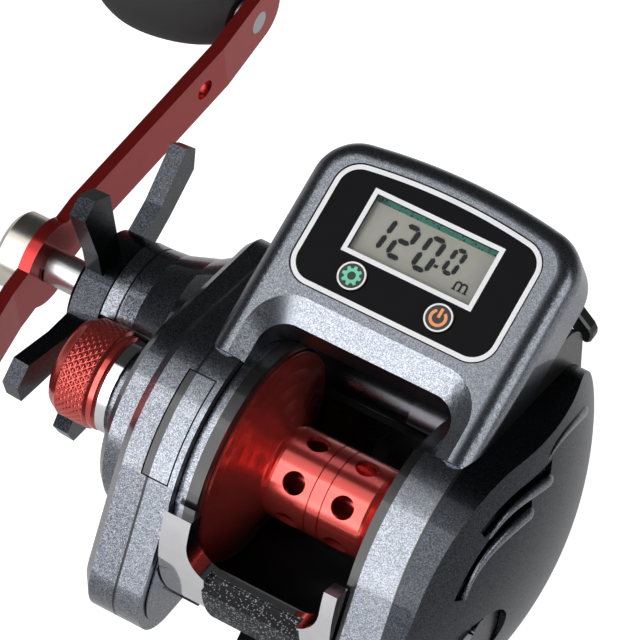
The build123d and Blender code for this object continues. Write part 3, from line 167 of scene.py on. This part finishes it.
class Finish(Graph):
    """A material of this reel, with one Principled shader that the nodes feed."""

    def __init__(self, name, **sockets):
        self.material = bpy.data.materials.new(name)
        self.material.use_nodes = True
        super().__init__(self.material.node_tree)
        self.shader = self.tree.nodes["Principled BSDF"]
        self.feed(**sockets)

    def feed(self, **sockets):
        """Values for the shader's sockets, by their names in small letters."""
        for name, value in sockets.items():
            self.plug(self.shader.inputs[name.replace("_", " ").title().replace("Ior", "IOR")], value)

    def place(self):
        """Object coordinates, in metres."""
        return self.node("ShaderNodeTexCoord", {}, {}, "Object")

    def axis(self, name):
        """One of the object coordinates."""
        return self.node("ShaderNodeSeparateXYZ", {}, {0: self.place()}, name)

    def beyond(self, name, limit):
        """One where a point lies farther than a limit in mm from the middle of an axis."""
        return self.node("ShaderNodeMath", {"operation": "ABSOLUTE"}, {0: self.axis(name)}) > limit * MM

    def noise(self, scale, detail=2.0, rough=0.5, where=None):
        """Cloudy noise, with so many clouds to the metre."""
        inputs = {"Vector": where or self.place(), "Scale": scale, "Detail": detail, "Roughness": rough}
        return self.node("ShaderNodeTexNoise", {}, inputs)

    def turned(self, along, around, detail):
        """Noise that is squeezed along X and drawn out across it, as turning and brushing leave metal."""
        stretch = self.node("ShaderNodeMapping", {}, {0: self.place(), "Scale": (along, around, around)})
        return self.noise(1.0, detail, 0.5, stretch)

    def cells(self, scale, output):
        """Voronoi cells, so many to the metre: the Distance to each cell's middle, or its random Color."""
        return self.node("ShaderNodeTexVoronoi", {}, {"Vector": self.place(), "Scale": scale}, output)

    def red_part(self, colour):
        """A colour's red part, as a plain number."""
        return self.node("ShaderNodeSeparateColor", {}, {0: colour}, "Red")

    def ramp(self, factor, *stops):
        """A colour ramp with the given stops."""
        return self.node("ShaderNodeValToRGB", {"stops": stops}, {0: factor})

    def blend(self, factor, first, second):
        """A mix of two colours, which a Mix node takes at its sockets 6 and 7 and gives at its output 2."""
        return self.node("ShaderNodeMix", {"data_type": "RGBA"}, {0: factor, 6: first, 7: second}, 2)

    def bump(self, height, strength, distance):
        """A normal that leans with a height, over a distance in metres."""
        inputs = {"Height": height, "Strength": strength, "Distance": distance}
        return self.node("ShaderNodeBump", {}, inputs)


# Finishes
def flake_paint(name, dark, light, coat, painted_shade=None):
    """Metal-flake paint: each cell is a flake with a brightness and a small tilt of its own, under lacquer.
    What the mask covers is painted shade in plain gloss black, such as on a housing's recessed inside, and a
    painted shadow in a parting line."""
    flakes, clouds, tilt, contrast = 8200, 2600, 0.10, 1.9
    # The black and the dulled coat of the painted shade and the painted shadow
    painted_shade_black, dulled = (0.008, 0.008, 0.009), 0.6
    paint = Finish(name, roughness=0.28, coat_roughness=0.05)
    shade = paint.cells(flakes, "Color")
    bright = (paint.red_part(shade) * 0.7 + paint.noise(clouds) * 0.4) ** contrast
    middle = paint.node("ShaderNodeVectorMath", {"operation": "SUBTRACT"}, {0: shade, 1: (0.5, 0.5, 0.5)})
    lean = paint.node("ShaderNodeVectorMath", {"operation": "SCALE"}, {0: middle, "Scale": tilt})
    straight = paint.node("ShaderNodeNewGeometry", {}, {}, "Normal")
    leaning = paint.node("ShaderNodeVectorMath", {"operation": "ADD"}, {0: straight, 1: lean})
    paint.feed(normal=paint.node("ShaderNodeVectorMath", {"operation": "NORMALIZE"}, {0: leaning}))
    colour = paint.blend(bright, dark, light)
    if painted_shade:
        # Painted shade: where the mask lies the paint turns gloss black, loses its metal and most of its coat
        mask = painted_shade(paint)
        paint.feed(base_color=paint.blend(mask, colour, painted_shade_black), metallic=1 - mask)
        paint.feed(coat_weight=coat * (1 - mask * dulled))
    else:
        paint.feed(base_color=colour, metallic=1.0, coat_weight=coat)
    return paint.material


def frame_painted_shade(paint):
    """The frame's painted shade: black between the two rims, where its inside lies in shade, and a thin painted
    shadow where a side cover meets it.
    """
    return 1 - paint.beyond("X", INNER_X) * (1 - paint.beyond("X", RIM_X - PAINTED_SHADOW))


def cover_painted_shadow(paint):
    """A thin painted shadow where a side cover meets the frame."""
    return 1 - paint.beyond("X", RIM_X + PAINTED_SHADOW)


def anodised(name, deep, bright, lines=0.0, coat=0.5):
    """Dyed aluminium: a metal of one hue with faint turning or brushing lines."""
    smooth = 0.17
    metal = Finish(name, metallic=0.82, coat_weight=coat, coat_roughness=0.06)
    metal.feed(base_color=metal.blend(metal.noise(260, 3.0), deep, bright))
    metal.feed(roughness=smooth + metal.noise(5200) * 0.10)
    if lines:
        metal.feed(normal=metal.bump(metal.turned(9000.0, 350.0, 2.0), lines, 0.02 * MM))
    return metal.material


def bright_metal(name, colour, rough, lines=0.0):
    """Bare metal with a faint cloud in its polish, and turning lines where it is turned about X."""
    dimmed = tuple(part * 0.86 for part in colour)
    metal = Finish(name, metallic=1.0)
    cloud = metal.noise(420, 3.0)
    metal.feed(base_color=metal.blend(cloud, dimmed, colour), roughness=rough + cloud * 0.08)
    if lines:
        metal.feed(normal=metal.bump(metal.turned(7000.0, 60.0, 1.0), lines, 0.02 * MM))
    return metal.material


def plastic(name, colour, rough, grain=0.15, coat=0.0):
    """Moulded plastic: one colour with a faint mottle and a fine skin, which shines only where it is coated."""
    dimmed = tuple(part * 0.85 for part in colour)
    skin = Finish(name, coat_weight=coat, coat_roughness=0.03, specular_ior_level=0.5 if coat else 0.06)
    skin.feed(base_color=skin.blend(skin.noise(300), dimmed, colour))
    fine = skin.noise(6000)
    skin.feed(roughness=rough + fine * 0.12, normal=skin.bump(fine, grain, 0.03 * MM))
    return skin.material


def foam_rubber(name, colour, glitter):
    """Matt black rubber with a fine sandy skin and, where asked, bright specks."""
    rare, speck_colour = 0.9, (0.5, 0.52, 0.55)
    skin = Finish(name)
    speck = (skin.red_part(skin.cells(5200, "Color")) > rare) * glitter
    skin.feed(base_color=skin.blend(speck, colour, speck_colour), roughness=0.75 - speck * 0.4)
    skin.feed(normal=skin.bump(skin.cells(3600, "Distance"), 0.35, 0.1 * MM))
    return skin.material


def display_grey():
    """The grey-green display, with a faint cloud and the grain of its reflector."""
    face = Finish("display_grey", coat_weight=0.3, coat_roughness=0.1)
    grain, cloud = face.noise(9000), face.noise(120, 1.0)
    face.feed(base_color=face.blend(cloud * 0.6 + grain * 0.4, (0.27, 0.27, 0.23), (0.34, 0.34, 0.29)))
    face.feed(roughness=0.42 + grain * 0.1)
    return face.material


def board_green():
    """A circuit board: green lacquer with lighter tracks between the cells of a pattern."""
    black, white = (0.0, 0.0, 0.0), (1.0, 1.0, 1.0)
    board = Finish("board_green", roughness=0.35)
    tracks = board.ramp(board.cells(1900, "Distance"), (0.0, black), (0.30, black), (0.36, white))
    board.feed(base_color=board.blend(board.red_part(tracks), (0.01, 0.12, 0.09), (0.10, 0.52, 0.38)))
    return board.material


def clear_lens():
    """A thin clear window: nearly all of it lets light through, and its skin shines."""
    lens = Finish("clear_lens", base_color=(0.4, 0.42, 0.42), alpha=0.03)
    lens.feed(roughness=0.03 + lens.noise(150) * 0.04)
    return lens.material


def worm_steel():
    """Steel with the crossed groove of a level-wind worm, painted dark as painted shade in the groove, in lines
    that run both ways round.
    Each line is where x / pitch plus or minus the share of a turn about the worm's axis is a whole number."""
    pitch, half_width = 4.2 * MM, 0.13
    steel = Finish("worm_steel", metallic=1.0, roughness=0.28)
    along = steel.axis("X")
    y, z = steel.axis("Y") - WORM_Y * MM, steel.axis("Z") - WORM_Z * MM
    turn = steel.node("ShaderNodeMath", {"operation": "ARCTAN2"}, {0: z, 1: y}) * (0.5 / math.pi)
    lands = []
    for way in (1.0, -1.0):
        inputs = {0: along / pitch + turn * way, 1: 0.5}
        lands.append(steel.node("ShaderNodeMath", {"operation": "PINGPONG"}, inputs) > half_width)
    mask = lands[0] * lands[1]
    # Painted shade: the grooves get a dark base colour for the shade in them, and the bump tilts their edges
    steel.feed(base_color=steel.blend(mask, (0.08, 0.08, 0.08), (0.62, 0.62, 0.62)))
    steel.feed(normal=steel.bump(mask, 0.6, 0.3 * MM))
    return steel.material


# Surfaces
def closed_grid(rows, columns, wrap_rows, wrap_columns):
    """The quads between the points of a grid, as index rows, wrapped round where asked."""
    r = np.arange(rows if wrap_rows else rows - 1)[:, None]
    c = np.arange(columns if wrap_columns else columns - 1)[None, :]
    r1, c1 = (r + 1) % rows, (c + 1) % columns
    corners = (r * columns + c, r * columns + c1, r1 * columns + c1, r1 * columns + c)
    return np.stack(np.broadcast_arrays(*corners), -1).reshape(-1, 4)


def carried(rows, columns, closed):
    """The faces of a section of so many points that is carried along a path of so many places: the quads
    between neighbouring sections and, unless the path closes, a cap at each end."""
    faces = closed_grid(rows, columns, closed, True).tolist()
    if not closed:
        first = list(range(columns))
        faces += [first[::-1], [corner + (rows - 1) * columns for corner in first]]
    return faces


def piece(name, points, faces, material, body, smooth=False):
    """A new piece from points in mm and faces as index rows, riding on a body."""
    mesh = bpy.data.meshes.new(name)
    mesh.from_pydata((np.asarray(points) * MM).tolist(), [], [list(map(int, f)) for f in faces])
    mesh.validate()
    mesh.update()
    mesh.polygons.foreach_set("use_smooth", np.full(len(mesh.polygons), smooth))
    made = bpy.data.objects.new(name, mesh)
    bpy.context.scene.collection.objects.link(made)
    made.data.materials.append(material)
    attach(made, body)
    return made


def on_panel(flat, height):
    """Points (across, up) in mm on the display panel's plane, at a height above the housing's top face."""
    flat = np.asarray(flat, float)
    return PANEL_MIDDLE + flat[:, :1] * PANEL_RIGHT + flat[:, 1:] * PANEL_UP + height * PANEL_OUT


def strip(inner, outer, low, high, closed):
    """A flat strip between two lines of as many points, from low to high above the panel's plane.
    Its section is a rectangle whose four corners follow the two lines, the left line first."""
    along, over = np.gradient(inner, axis=0), outer - inner
    if (along[:, 0] * over[:, 1] - along[:, 1] * over[:, 0]).sum() < 0:
        inner, outer = outer, inner
    rings = [on_panel(outer, low), on_panel(outer, high), on_panel(inner, high), on_panel(inner, low)]
    return np.stack(rings, 1).reshape(-1, 3), carried(len(inner), len(rings), closed)


def printed(name, strips, low, high, material, body):
    """One printed sign made of several strips."""
    points, faces, count = [], [], 0
    for inner, outer, closed in strips:
        more, quads = strip(np.asarray(inner, float), np.asarray(outer, float), low, high, closed)
        points.append(more)
        faces += [[i + count for i in quad] for quad in quads]
        count += len(more)
    return piece(name, np.concatenate(points), faces, material, body)


def ring(cx, cy, r_in, r_out, count=72, start=0.0, end=360.0):
    """Two arcs about a centre, for a ring or a part of one."""
    closed = end - start >= 360.0
    a = np.radians(np.linspace(start, end, count, endpoint=not closed))
    way = np.stack((np.cos(a), np.sin(a)), 1)
    return (cx, cy) + way * r_in, (cx, cy) + way * r_out, closed


def block(left, low, width, height, lean=0.0):
    """The lower and the upper line of an upright bar, the upper one shifted by a lean."""
    right, top = left + width, low + height
    return [(left, low), (right, low)], [(left + lean, top), (right + lean, top)], False


def panel_line(inset):
    """The label panel's outline, drawn in by an inset: a base, straight sides, an arched top and round
    corners. Each corner is an arc that touches its two sides, and the top is an arc of a large radius."""
    half, low, top, corner, arch = 18.05, -13.0, 9.4, 4.4, 97.0
    across = half - corner
    rise = math.sqrt((arch - corner) ** 2 - across**2)
    lean = math.degrees(math.atan2(rise, across))
    arcs = (
        (across, low + corner, corner, -90.0, 0.0, 16),
        (across, top - arch + rise, corner, 0.0, lean, 16),
        (0.0, top - arch, arch, lean, 180.0 - lean, 40),
        (-across, top - arch + rise, corner, 180.0 - lean, 180.0, 16),
        (-across, low + corner, corner, 180.0, 270.0, 16),
    )
    line = []
    for cx, cy, r, start, end, count in arcs:
        a = np.radians(np.linspace(start, end, count))
        line.append(np.stack((cx + (r - inset) * np.cos(a), cy + (r - inset) * np.sin(a)), 1))
    return np.concatenate(line)


def segment(start, end, thick):
    """One display segment: the lower and upper line of a bar with pointed ends, a hair apart there."""
    blunt = 0.02
    way = (end - start) / np.linalg.norm(end - start)
    side = np.array((-way[1], way[0])) * thick / 2
    cut, hair = way * thick / 2, way * thick * blunt
    lower = [start, start + cut - side, end - cut - side, end]
    upper = [start + hair, start + cut + side, end - cut + side, end - hair]
    return lower, upper, False


def digit(lit, x, y, width, height, thick):
    """A seven-segment digit: each lit letter names a bar between two of its six corners."""
    slant, gap = 0.13, thick * 0.16
    made = []
    for letter in lit:
        ends = []
        for corner in BARS[letter].split():
            column, halves = CORNERS[corner]
            up = halves * height / 2
            ends.append(np.array((x + column * width + slant * up, y + up)))
        start, end = ends
        way = (end - start) / np.linalg.norm(end - start)
        made.append(segment(start + way * gap, end - way * gap, thick))
    return made


def metre_sign(left, low):
    """The letter m: three stems with feet, joined by two arches."""
    stem, height, pitch, foot, drop = 0.3, 0.95, 0.95, 0.18, 0.15
    arch_in, arch_out, arch_low = 0.33, 0.62, 0.85
    made = []
    for x in (left, left + pitch, left + 2 * pitch):
        made += [block(x, low, stem, height), block(x - foot, low - drop, stem + 2 * foot, foot)]
    for x in (left + 0.5 * pitch, left + 1.5 * pitch):
        made.append(ring(x + stem / 2, low + arch_low, arch_in, arch_out, 14, 0.0, 180.0))
    return made


def display_signs(ink, white):
    """The counter's reading with its point and unit, and the white lines round the window and the panel."""
    ink_height, line_height, line_width = 0.06, 0.025, 0.75
    large = {"y": -2.75, "width": 2.3, "height": 5.5, "thick": 0.8}
    small = {"y": -1.4, "width": 1.65, "height": 4.1, "thick": 0.7}
    reading = digit("bc", -9.3, **large) + digit("abged", -5.2, **large)
    reading += digit("abcdef", -0.75, **large) + digit("abcdef", 3.85, **small)
    reading.append(block(2.35, -1.45, 0.6, 0.5, lean=0.05))
    reading += metre_sign(6.65, -3.15)
    printed("count_reading", reading, LCD_TOP, LCD_TOP + ink_height, ink, "reel_body")
    window = np.array([(-10.65, -4.8), (10.65, -4.8), (10.65, 4.8), (-10.65, 4.8)])
    round_window = (window, window + np.sign(window) * line_width, True)
    round_label = (panel_line(0.95), panel_line(0.18), True)
    lines = [round_window, round_label]
    printed("panel_lines", lines, LABEL_TOP, LABEL_TOP + line_height, white, "reel_body")


def button_signs(white, green, orange):
    """The lines and signs on the two buttons, which move with them: a toothed wheel whose radius rises at
    its teeth, r = R + tooth * clip(steep * cos(teeth * a)), and an open ring with a bar."""
    sunk, line_height, sign_height = BUTTON_TOP - 0.03, BUTTON_TOP + 0.03, BUTTON_TOP + 0.04
    teeth, steep, tooth, bore, radius = 8, 3.2, 0.2, 0.68, 1.38
    buttons = ((-BUTTON_X, "mode_body", "button_green"), (BUTTON_X, "power_body", "button_orange"))
    for x, body, slot in buttons:
        printed(body + "_line", [ring(x, BUTTON_Y, 2.0, 2.28)], sunk, line_height, white, body)
    a = np.linspace(0, 2 * math.pi, 128, endpoint=False)
    rim = radius + np.clip(np.cos(teeth * a) * steep, -1, 1) * tooth
    way = np.stack((np.cos(a), np.sin(a)), 1)
    middle = (-BUTTON_X, BUTTON_Y)
    wheel = (middle + way * bore, middle + way * rim[:, None], True)
    printed("mode_sign", [wheel], sunk, sign_height, green, "mode_body")
    sweep = ring(BUTTON_X, BUTTON_Y - 0.05, 0.95, 1.45, 60, 125.0, 415.0)
    bar = block(BUTTON_X - 0.25, BUTTON_Y, 0.5, 1.55)
    printed("power_sign", [sweep, bar], sunk, sign_height, orange, "power_body")


def knurled_knob(metal):
    """The cast-control knob. A closed profile (x, r) is turned about the spool's axis, and on its barrel the
    radius falls in two families of slanting grooves: r = R - depth * (max(saw(a + x), saw(a - x)) - land)."""
    knurl_start, knurl_end, radius, around = -41.3, -46.4, 8.38, 480
    grooves_round, pitch, depth, land, run_out = 40, 1.32, 0.26, 0.25, 0.25
    rear = [(-39.5, 5.5), (-39.5, 7.6), (-39.9, 8.0), (-40.8, 8.0), (-40.8, 7.7), (-41.1, 8.2)]
    barrel = [(x, radius) for x in np.linspace(knurl_start, knurl_end, 54)]
    nose = [(-46.7, 8.15), (-47.4, 7.85), (-48.1, 7.4), (-48.5, 6.7), (-48.5, 4.6), (-48.25, 4.2)]
    bore = [(-48.25, 0.02), (-47.2, 0.02), (-47.2, 5.45)]
    profile = np.array(rear + barrel + nose + bore)
    edge = math.radians(38)
    a = np.linspace(0, 2 * math.pi, around, endpoint=False)[:, None]
    x, r = profile[:, 0][None, :], profile[:, 1][None, :]

    def saw(v):
        return np.abs((v % 1.0) - 0.5) * 2

    turn, slope = a * grooves_round / (2 * math.pi), (x - knurl_start) / pitch
    grooves = np.clip(np.maximum(saw(turn + slope), saw(turn - slope)) - land, 0, 1)
    fade = np.clip(np.minimum(knurl_start - x, x - knurl_end) / run_out, 0, 1) * (r == radius)
    rr = r - depth * fade * grooves
    y, z = SPOOL_Y + rr * np.cos(a), SPOOL_Z + rr * np.sin(a)
    points = np.stack((np.broadcast_to(x, rr.shape), y, z), -1).reshape(-1, 3)
    faces = closed_grid(around, len(profile), True, True)
    knob = piece("tension_knob_knurled", points, faces, metal, "tension_body", True)
    sharp = knob.modifiers.new("edges", "EDGE_SPLIT")
    sharp.split_angle = edge
    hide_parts("tension_knob")


def dome(y, z):
    """Points on the palm cover's dome, x = X + sqrt(R^2 - (y - Y)^2 - (z - Z)^2), and outward directions."""
    mx, my, mz = PALM_MIDDLE
    x = mx + np.sqrt(PALM_RADIUS**2 - (y - my) ** 2 - (z - mz) ** 2)
    return np.stack((x, y, z), -1), np.stack((x - mx, y - my, z - mz), -1) / PALM_RADIUS


def louvre_lip(name, line, width, material):
    """The raised lip beside a louvre: an oval section carried along a cubic curve on the dome. Its half width is
    w * sqrt(s / rounded) up to the full width, times (1 - s)^drawn, and its height is a share of that."""
    rounded, drawn, least, height = 0.05, 0.55, 0.01, 0.62
    line = np.array(line)
    given = np.linspace(0.0, 1.0, len(line))
    s = np.linspace(0.0, 1.0, 72)
    y, z = (np.polyval(np.polyfit(given, line[:, k], 3), s) for k in (0, 1))
    along = np.stack((np.gradient(y), np.gradient(z)), 1)
    along /= np.linalg.norm(along, axis=1, keepdims=True)
    half = width * np.sqrt(np.clip(s / rounded, 0.0, 1.0)) * (1.0 - s) ** drawn + least
    a = np.linspace(0.0, 2 * math.pi, 20, endpoint=False)
    across = half[:, None] * np.cos(a)
    points, outward = dome(y[:, None] - across * along[:, 1:], z[:, None] + across * along[:, :1])
    points = (points + outward * (height * half[:, None] * np.sin(a))[..., None]).reshape(-1, 3)
    faces = carried(len(s), len(a), False)
    piece(name, points, faces, material, "reel_body", True)


def hood(material):
    """The black hood under the housing's front, with an ear that leans out on each side.
    Its outline is a plate's in X and Z, carried along Y, and its edges are rounded by a small bevel."""
    front, rear, bevel = SPOOL_Y + 36.4, SPOOL_Y + 34.2, 0.35
    half = HOOD_SIDE + HOOD_UNDER
    outline = np.array(half + tuple((-x, z) for x, z in reversed(half)))
    middle = np.roll(outline, -1, 0) - np.roll(outline, 1, 0)
    inward = np.stack((middle[:, 1], -middle[:, 0]), 1) / np.linalg.norm(middle, axis=1, keepdims=True)
    rings = []
    for y, inset in ((rear, bevel), (rear + bevel, 0.0), (front - bevel, 0.0), (front, bevel)):
        flat = outline + inward * inset
        rings.append(np.stack((flat[:, 0], np.full(len(flat), y), SPOOL_Z + flat[:, 1]), 1))
    faces = carried(len(rings), len(outline), False)
    points = np.concatenate(rings)
    made = piece("hood_with_ears", points, faces, material, "reel_body")
    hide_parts("front_hood")


# The whole reel
def dress():
    """Give every CAD node its finish, plain steel if nothing else, and add the new pieces."""
    flake = flake_paint("flake_paint", (0.11, 0.12, 0.145), (0.44, 0.47, 0.52), 0.7)
    frame_flake = flake_paint("frame_flake", (0.07, 0.078, 0.098), (0.38, 0.405, 0.45), 0.8, frame_painted_shade)
    cover_flake = flake_paint("cover_flake", (0.035, 0.04, 0.052), (0.33, 0.35, 0.40), 0.9, cover_painted_shadow)
    dark_flake = flake_paint("dark_flake", (0.005, 0.006, 0.008), (0.075, 0.082, 0.10), 0.3, cover_painted_shadow)
    black = plastic("black_plastic", (0.012, 0.012, 0.013), 0.3, 0.1, 0.3)
    gloss = plastic("label_gloss", (0.007, 0.007, 0.008), 0.30, 0.02)
    dark = bright_metal("dark_metal", (0.10, 0.10, 0.11), 0.24)
    red = anodised("red_anodised", (0.56, 0.065, 0.055), (0.68, 0.085, 0.07), lines=0.15)
    arm_red = anodised("arm_red", (0.40, 0.022, 0.022), (0.50, 0.034, 0.032), coat=0.2)
    steel = bright_metal("steel", (0.62, 0.62, 0.63), 0.26, 0.3)
    chrome = bright_metal("chrome", (0.86, 0.86, 0.88), 0.05)
    brass = bright_metal("brass", (0.80, 0.60, 0.26), 0.24, 0.2)
    cap = bright_metal("cap_metal", (0.80, 0.75, 0.66), 0.22, 0.2)
    nylon = plastic("nylon", (0.80, 0.80, 0.76), 0.45)
    white = plastic("white_print", (0.86, 0.86, 0.87), 0.5, 0.02)
    ink = plastic("display_ink", (0.006, 0.006, 0.007), 0.5, 0.0)
    green = plastic("green_print", (0.19, 0.66, 0.43), 0.45, 0.02)
    orange = plastic("orange_print", (0.92, 0.36, 0.16), 0.45, 0.02)
    ceramic = plastic("ceramic", (0.70, 0.70, 0.68), 0.15, 0.02, 0.5)
    friction = plastic("friction", (0.10, 0.09, 0.08), 0.8, 0.4)
    grip = foam_rubber("grip_rubber", (0.018, 0.018, 0.019), 0.0)
    pad = foam_rubber("pad_rubber", (0.012, 0.012, 0.013), 0.6)
    finishes = {
        flake: "counter_housing",
        frame_flake: "frame inset_cover",
        cover_flake: "handle_side_cover",
        dark_flake: "palm_side_cover star_drag",
        dark: "reel_foot brake_dial line_guide worm_shield battery_cover worm_tube",
        black: "front_hood magnet_ring mode_button power_button",
        gloss: "label_panel",
        red: "spool tension_knob",
        arm_red: "handle_arm",
        chrome: "thumb_bar tension_collar coin_cell",
        brass: "drive_gear pinion_gear pawl_cap",
        nylon: "levelwind_drive_gear worm_gear worm_bushes clutch_yoke",
        ceramic: "guide_eye",
        friction: "drag_washers",
        grip: "handle_knob_front handle_knob_rear",
        pad: "thumb_pad",
        cap: "nut_cap",
        display_grey(): "lcd_module",
        board_green(): "circuit_board",
        clear_lens(): "lcd_lens",
        worm_steel(): "worm_shaft",
    }
    given = {node: made for made, nodes in finishes.items() for node in nodes.split()}
    for node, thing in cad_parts.items():
        thing.data.materials.clear()
        thing.data.materials.append(given.get(node, steel))
    display_signs(ink, white)
    button_signs(white, green, orange)
    knurled_knob(red)
    hood(black)
    for name, line, width in LOUVRES:
        louvre_lip(name, line, width, cover_flake)


# Studio
def softbox(name, way, size, glow):
    """A rectangular lamp a metre away that faces the reel; its power gives it the wanted glow."""
    aim, distance = Vector((0.0, 0.0, 0.03)), 1.0
    away = Vector(way).normalized()
    lamp = bpy.data.lights.new(name, "AREA")
    lamp.shape = "RECTANGLE"
    lamp.size, lamp.size_y = size
    lamp.energy = glow * math.pi * size[0] * size[1]
    made = bpy.data.objects.new(name, lamp)
    made.location = aim + away * distance
    made.rotation_mode = "QUATERNION"
    made.rotation_quaternion = (-away).to_track_quat("-Z", "Y")
    bpy.context.scene.collection.objects.link(made)


def backdrop():
    """A white surround, which mirrors see only near the horizon and to the rear: above, the studio is dark."""
    dark_studio, plain_level = 0.035, 0.30
    world = bpy.data.worlds.new("studio")
    bpy.context.scene.world = world
    world.use_nodes = True
    sky = Graph(world.node_tree)
    smooth = {"interpolation_type": "SMOOTHSTEP"}
    levels = []
    for axis, start, end, first, last in (("Z", 0.0, 0.35, 1.0, 0.0), ("Y", -0.5, 0.4, 1.0, 0.12)):
        way = sky.node("ShaderNodeTexCoord", {}, {}, "Generated")
        part = sky.node("ShaderNodeSeparateXYZ", {}, {0: way}, axis)
        inputs = {"Value": part, "From Min": start, "From Max": end, "To Min": first, "To Max": last}
        levels.append(sky.node("ShaderNodeMapRange", smooth, inputs))
    mirrored = sky.ray("Glossy") + sky.ray("Transmission")
    seen = sky.ray("Camera")
    level = mirrored * (levels[0] * levels[1] + dark_studio) + (1 - mirrored) * plain_level
    lamp = world.node_tree.nodes["Background"]
    lamp.inputs["Color"].default_value = (1.0, 1.0, 1.0, 1.0)
    sky.plug(lamp.inputs["Strength"], seen + (1 - seen) * level)


def studio():
    """The pale floor, which lies under the circle that the handle sweeps, the surround and the lamps."""
    scene = bpy.context.scene
    scene.view_settings.view_transform = "Standard"
    low, side = (DRIVE_Z - HANDLE_REACH) * MM, 3.0
    mesh = bpy.data.meshes.new("floor")
    corners = [(-side, -side, low), (side, -side, low), (side, side, low), (-side, side, low)]
    mesh.from_pydata(corners, [], [(0, 1, 2, 3)])
    floor = bpy.data.objects.new("floor", mesh)
    scene.collection.objects.link(floor)
    cover = Finish("floor_white", base_color=(0.66, 0.66, 0.67), roughness=0.9, emission_strength=0.72)
    seen = cover.ray("Camera") + (cover.ray("Glossy") + cover.ray("Transmission")) * 0.1
    cover.feed(emission_color=cover.blend(seen, (0.0, 0.0, 0.0), (1.0, 1.0, 1.0)))
    mesh.materials.append(cover.material)
    backdrop()
    for name, way, size, glow in LAMPS:
        softbox(name, way, size, glow)


def camera():
    """The photograph's view: a long lens, nearly a parallel view, turned 26.7 degrees about its own axis."""
    picture_px, focal_px, film = 640.0, 4225.0, 36.0
    right = Vector((0.85137584, 0.52260208, 0.04523548))
    down = Vector((0.41608625, -0.62029659, -0.6649093))
    ahead = Vector((-0.31942357, 0.58490957, -0.74555307))
    place = (0.19435, -0.36758234, 0.52480453)
    lens = bpy.data.cameras.new("camera")
    lens.sensor_width = film
    lens.lens = film * focal_px / picture_px
    lens.clip_start, lens.clip_end = 0.05, 20.0
    eye = bpy.data.objects.new("camera", lens)
    turn = Matrix((right, -down, -ahead)).transposed().to_4x4()
    eye.matrix_world = Matrix.Translation(place) @ turn
    bpy.context.scene.collection.objects.link(eye)
    bpy.context.scene.camera = eye


dress()
studio()
camera()
bpy.context.view_layer.update()
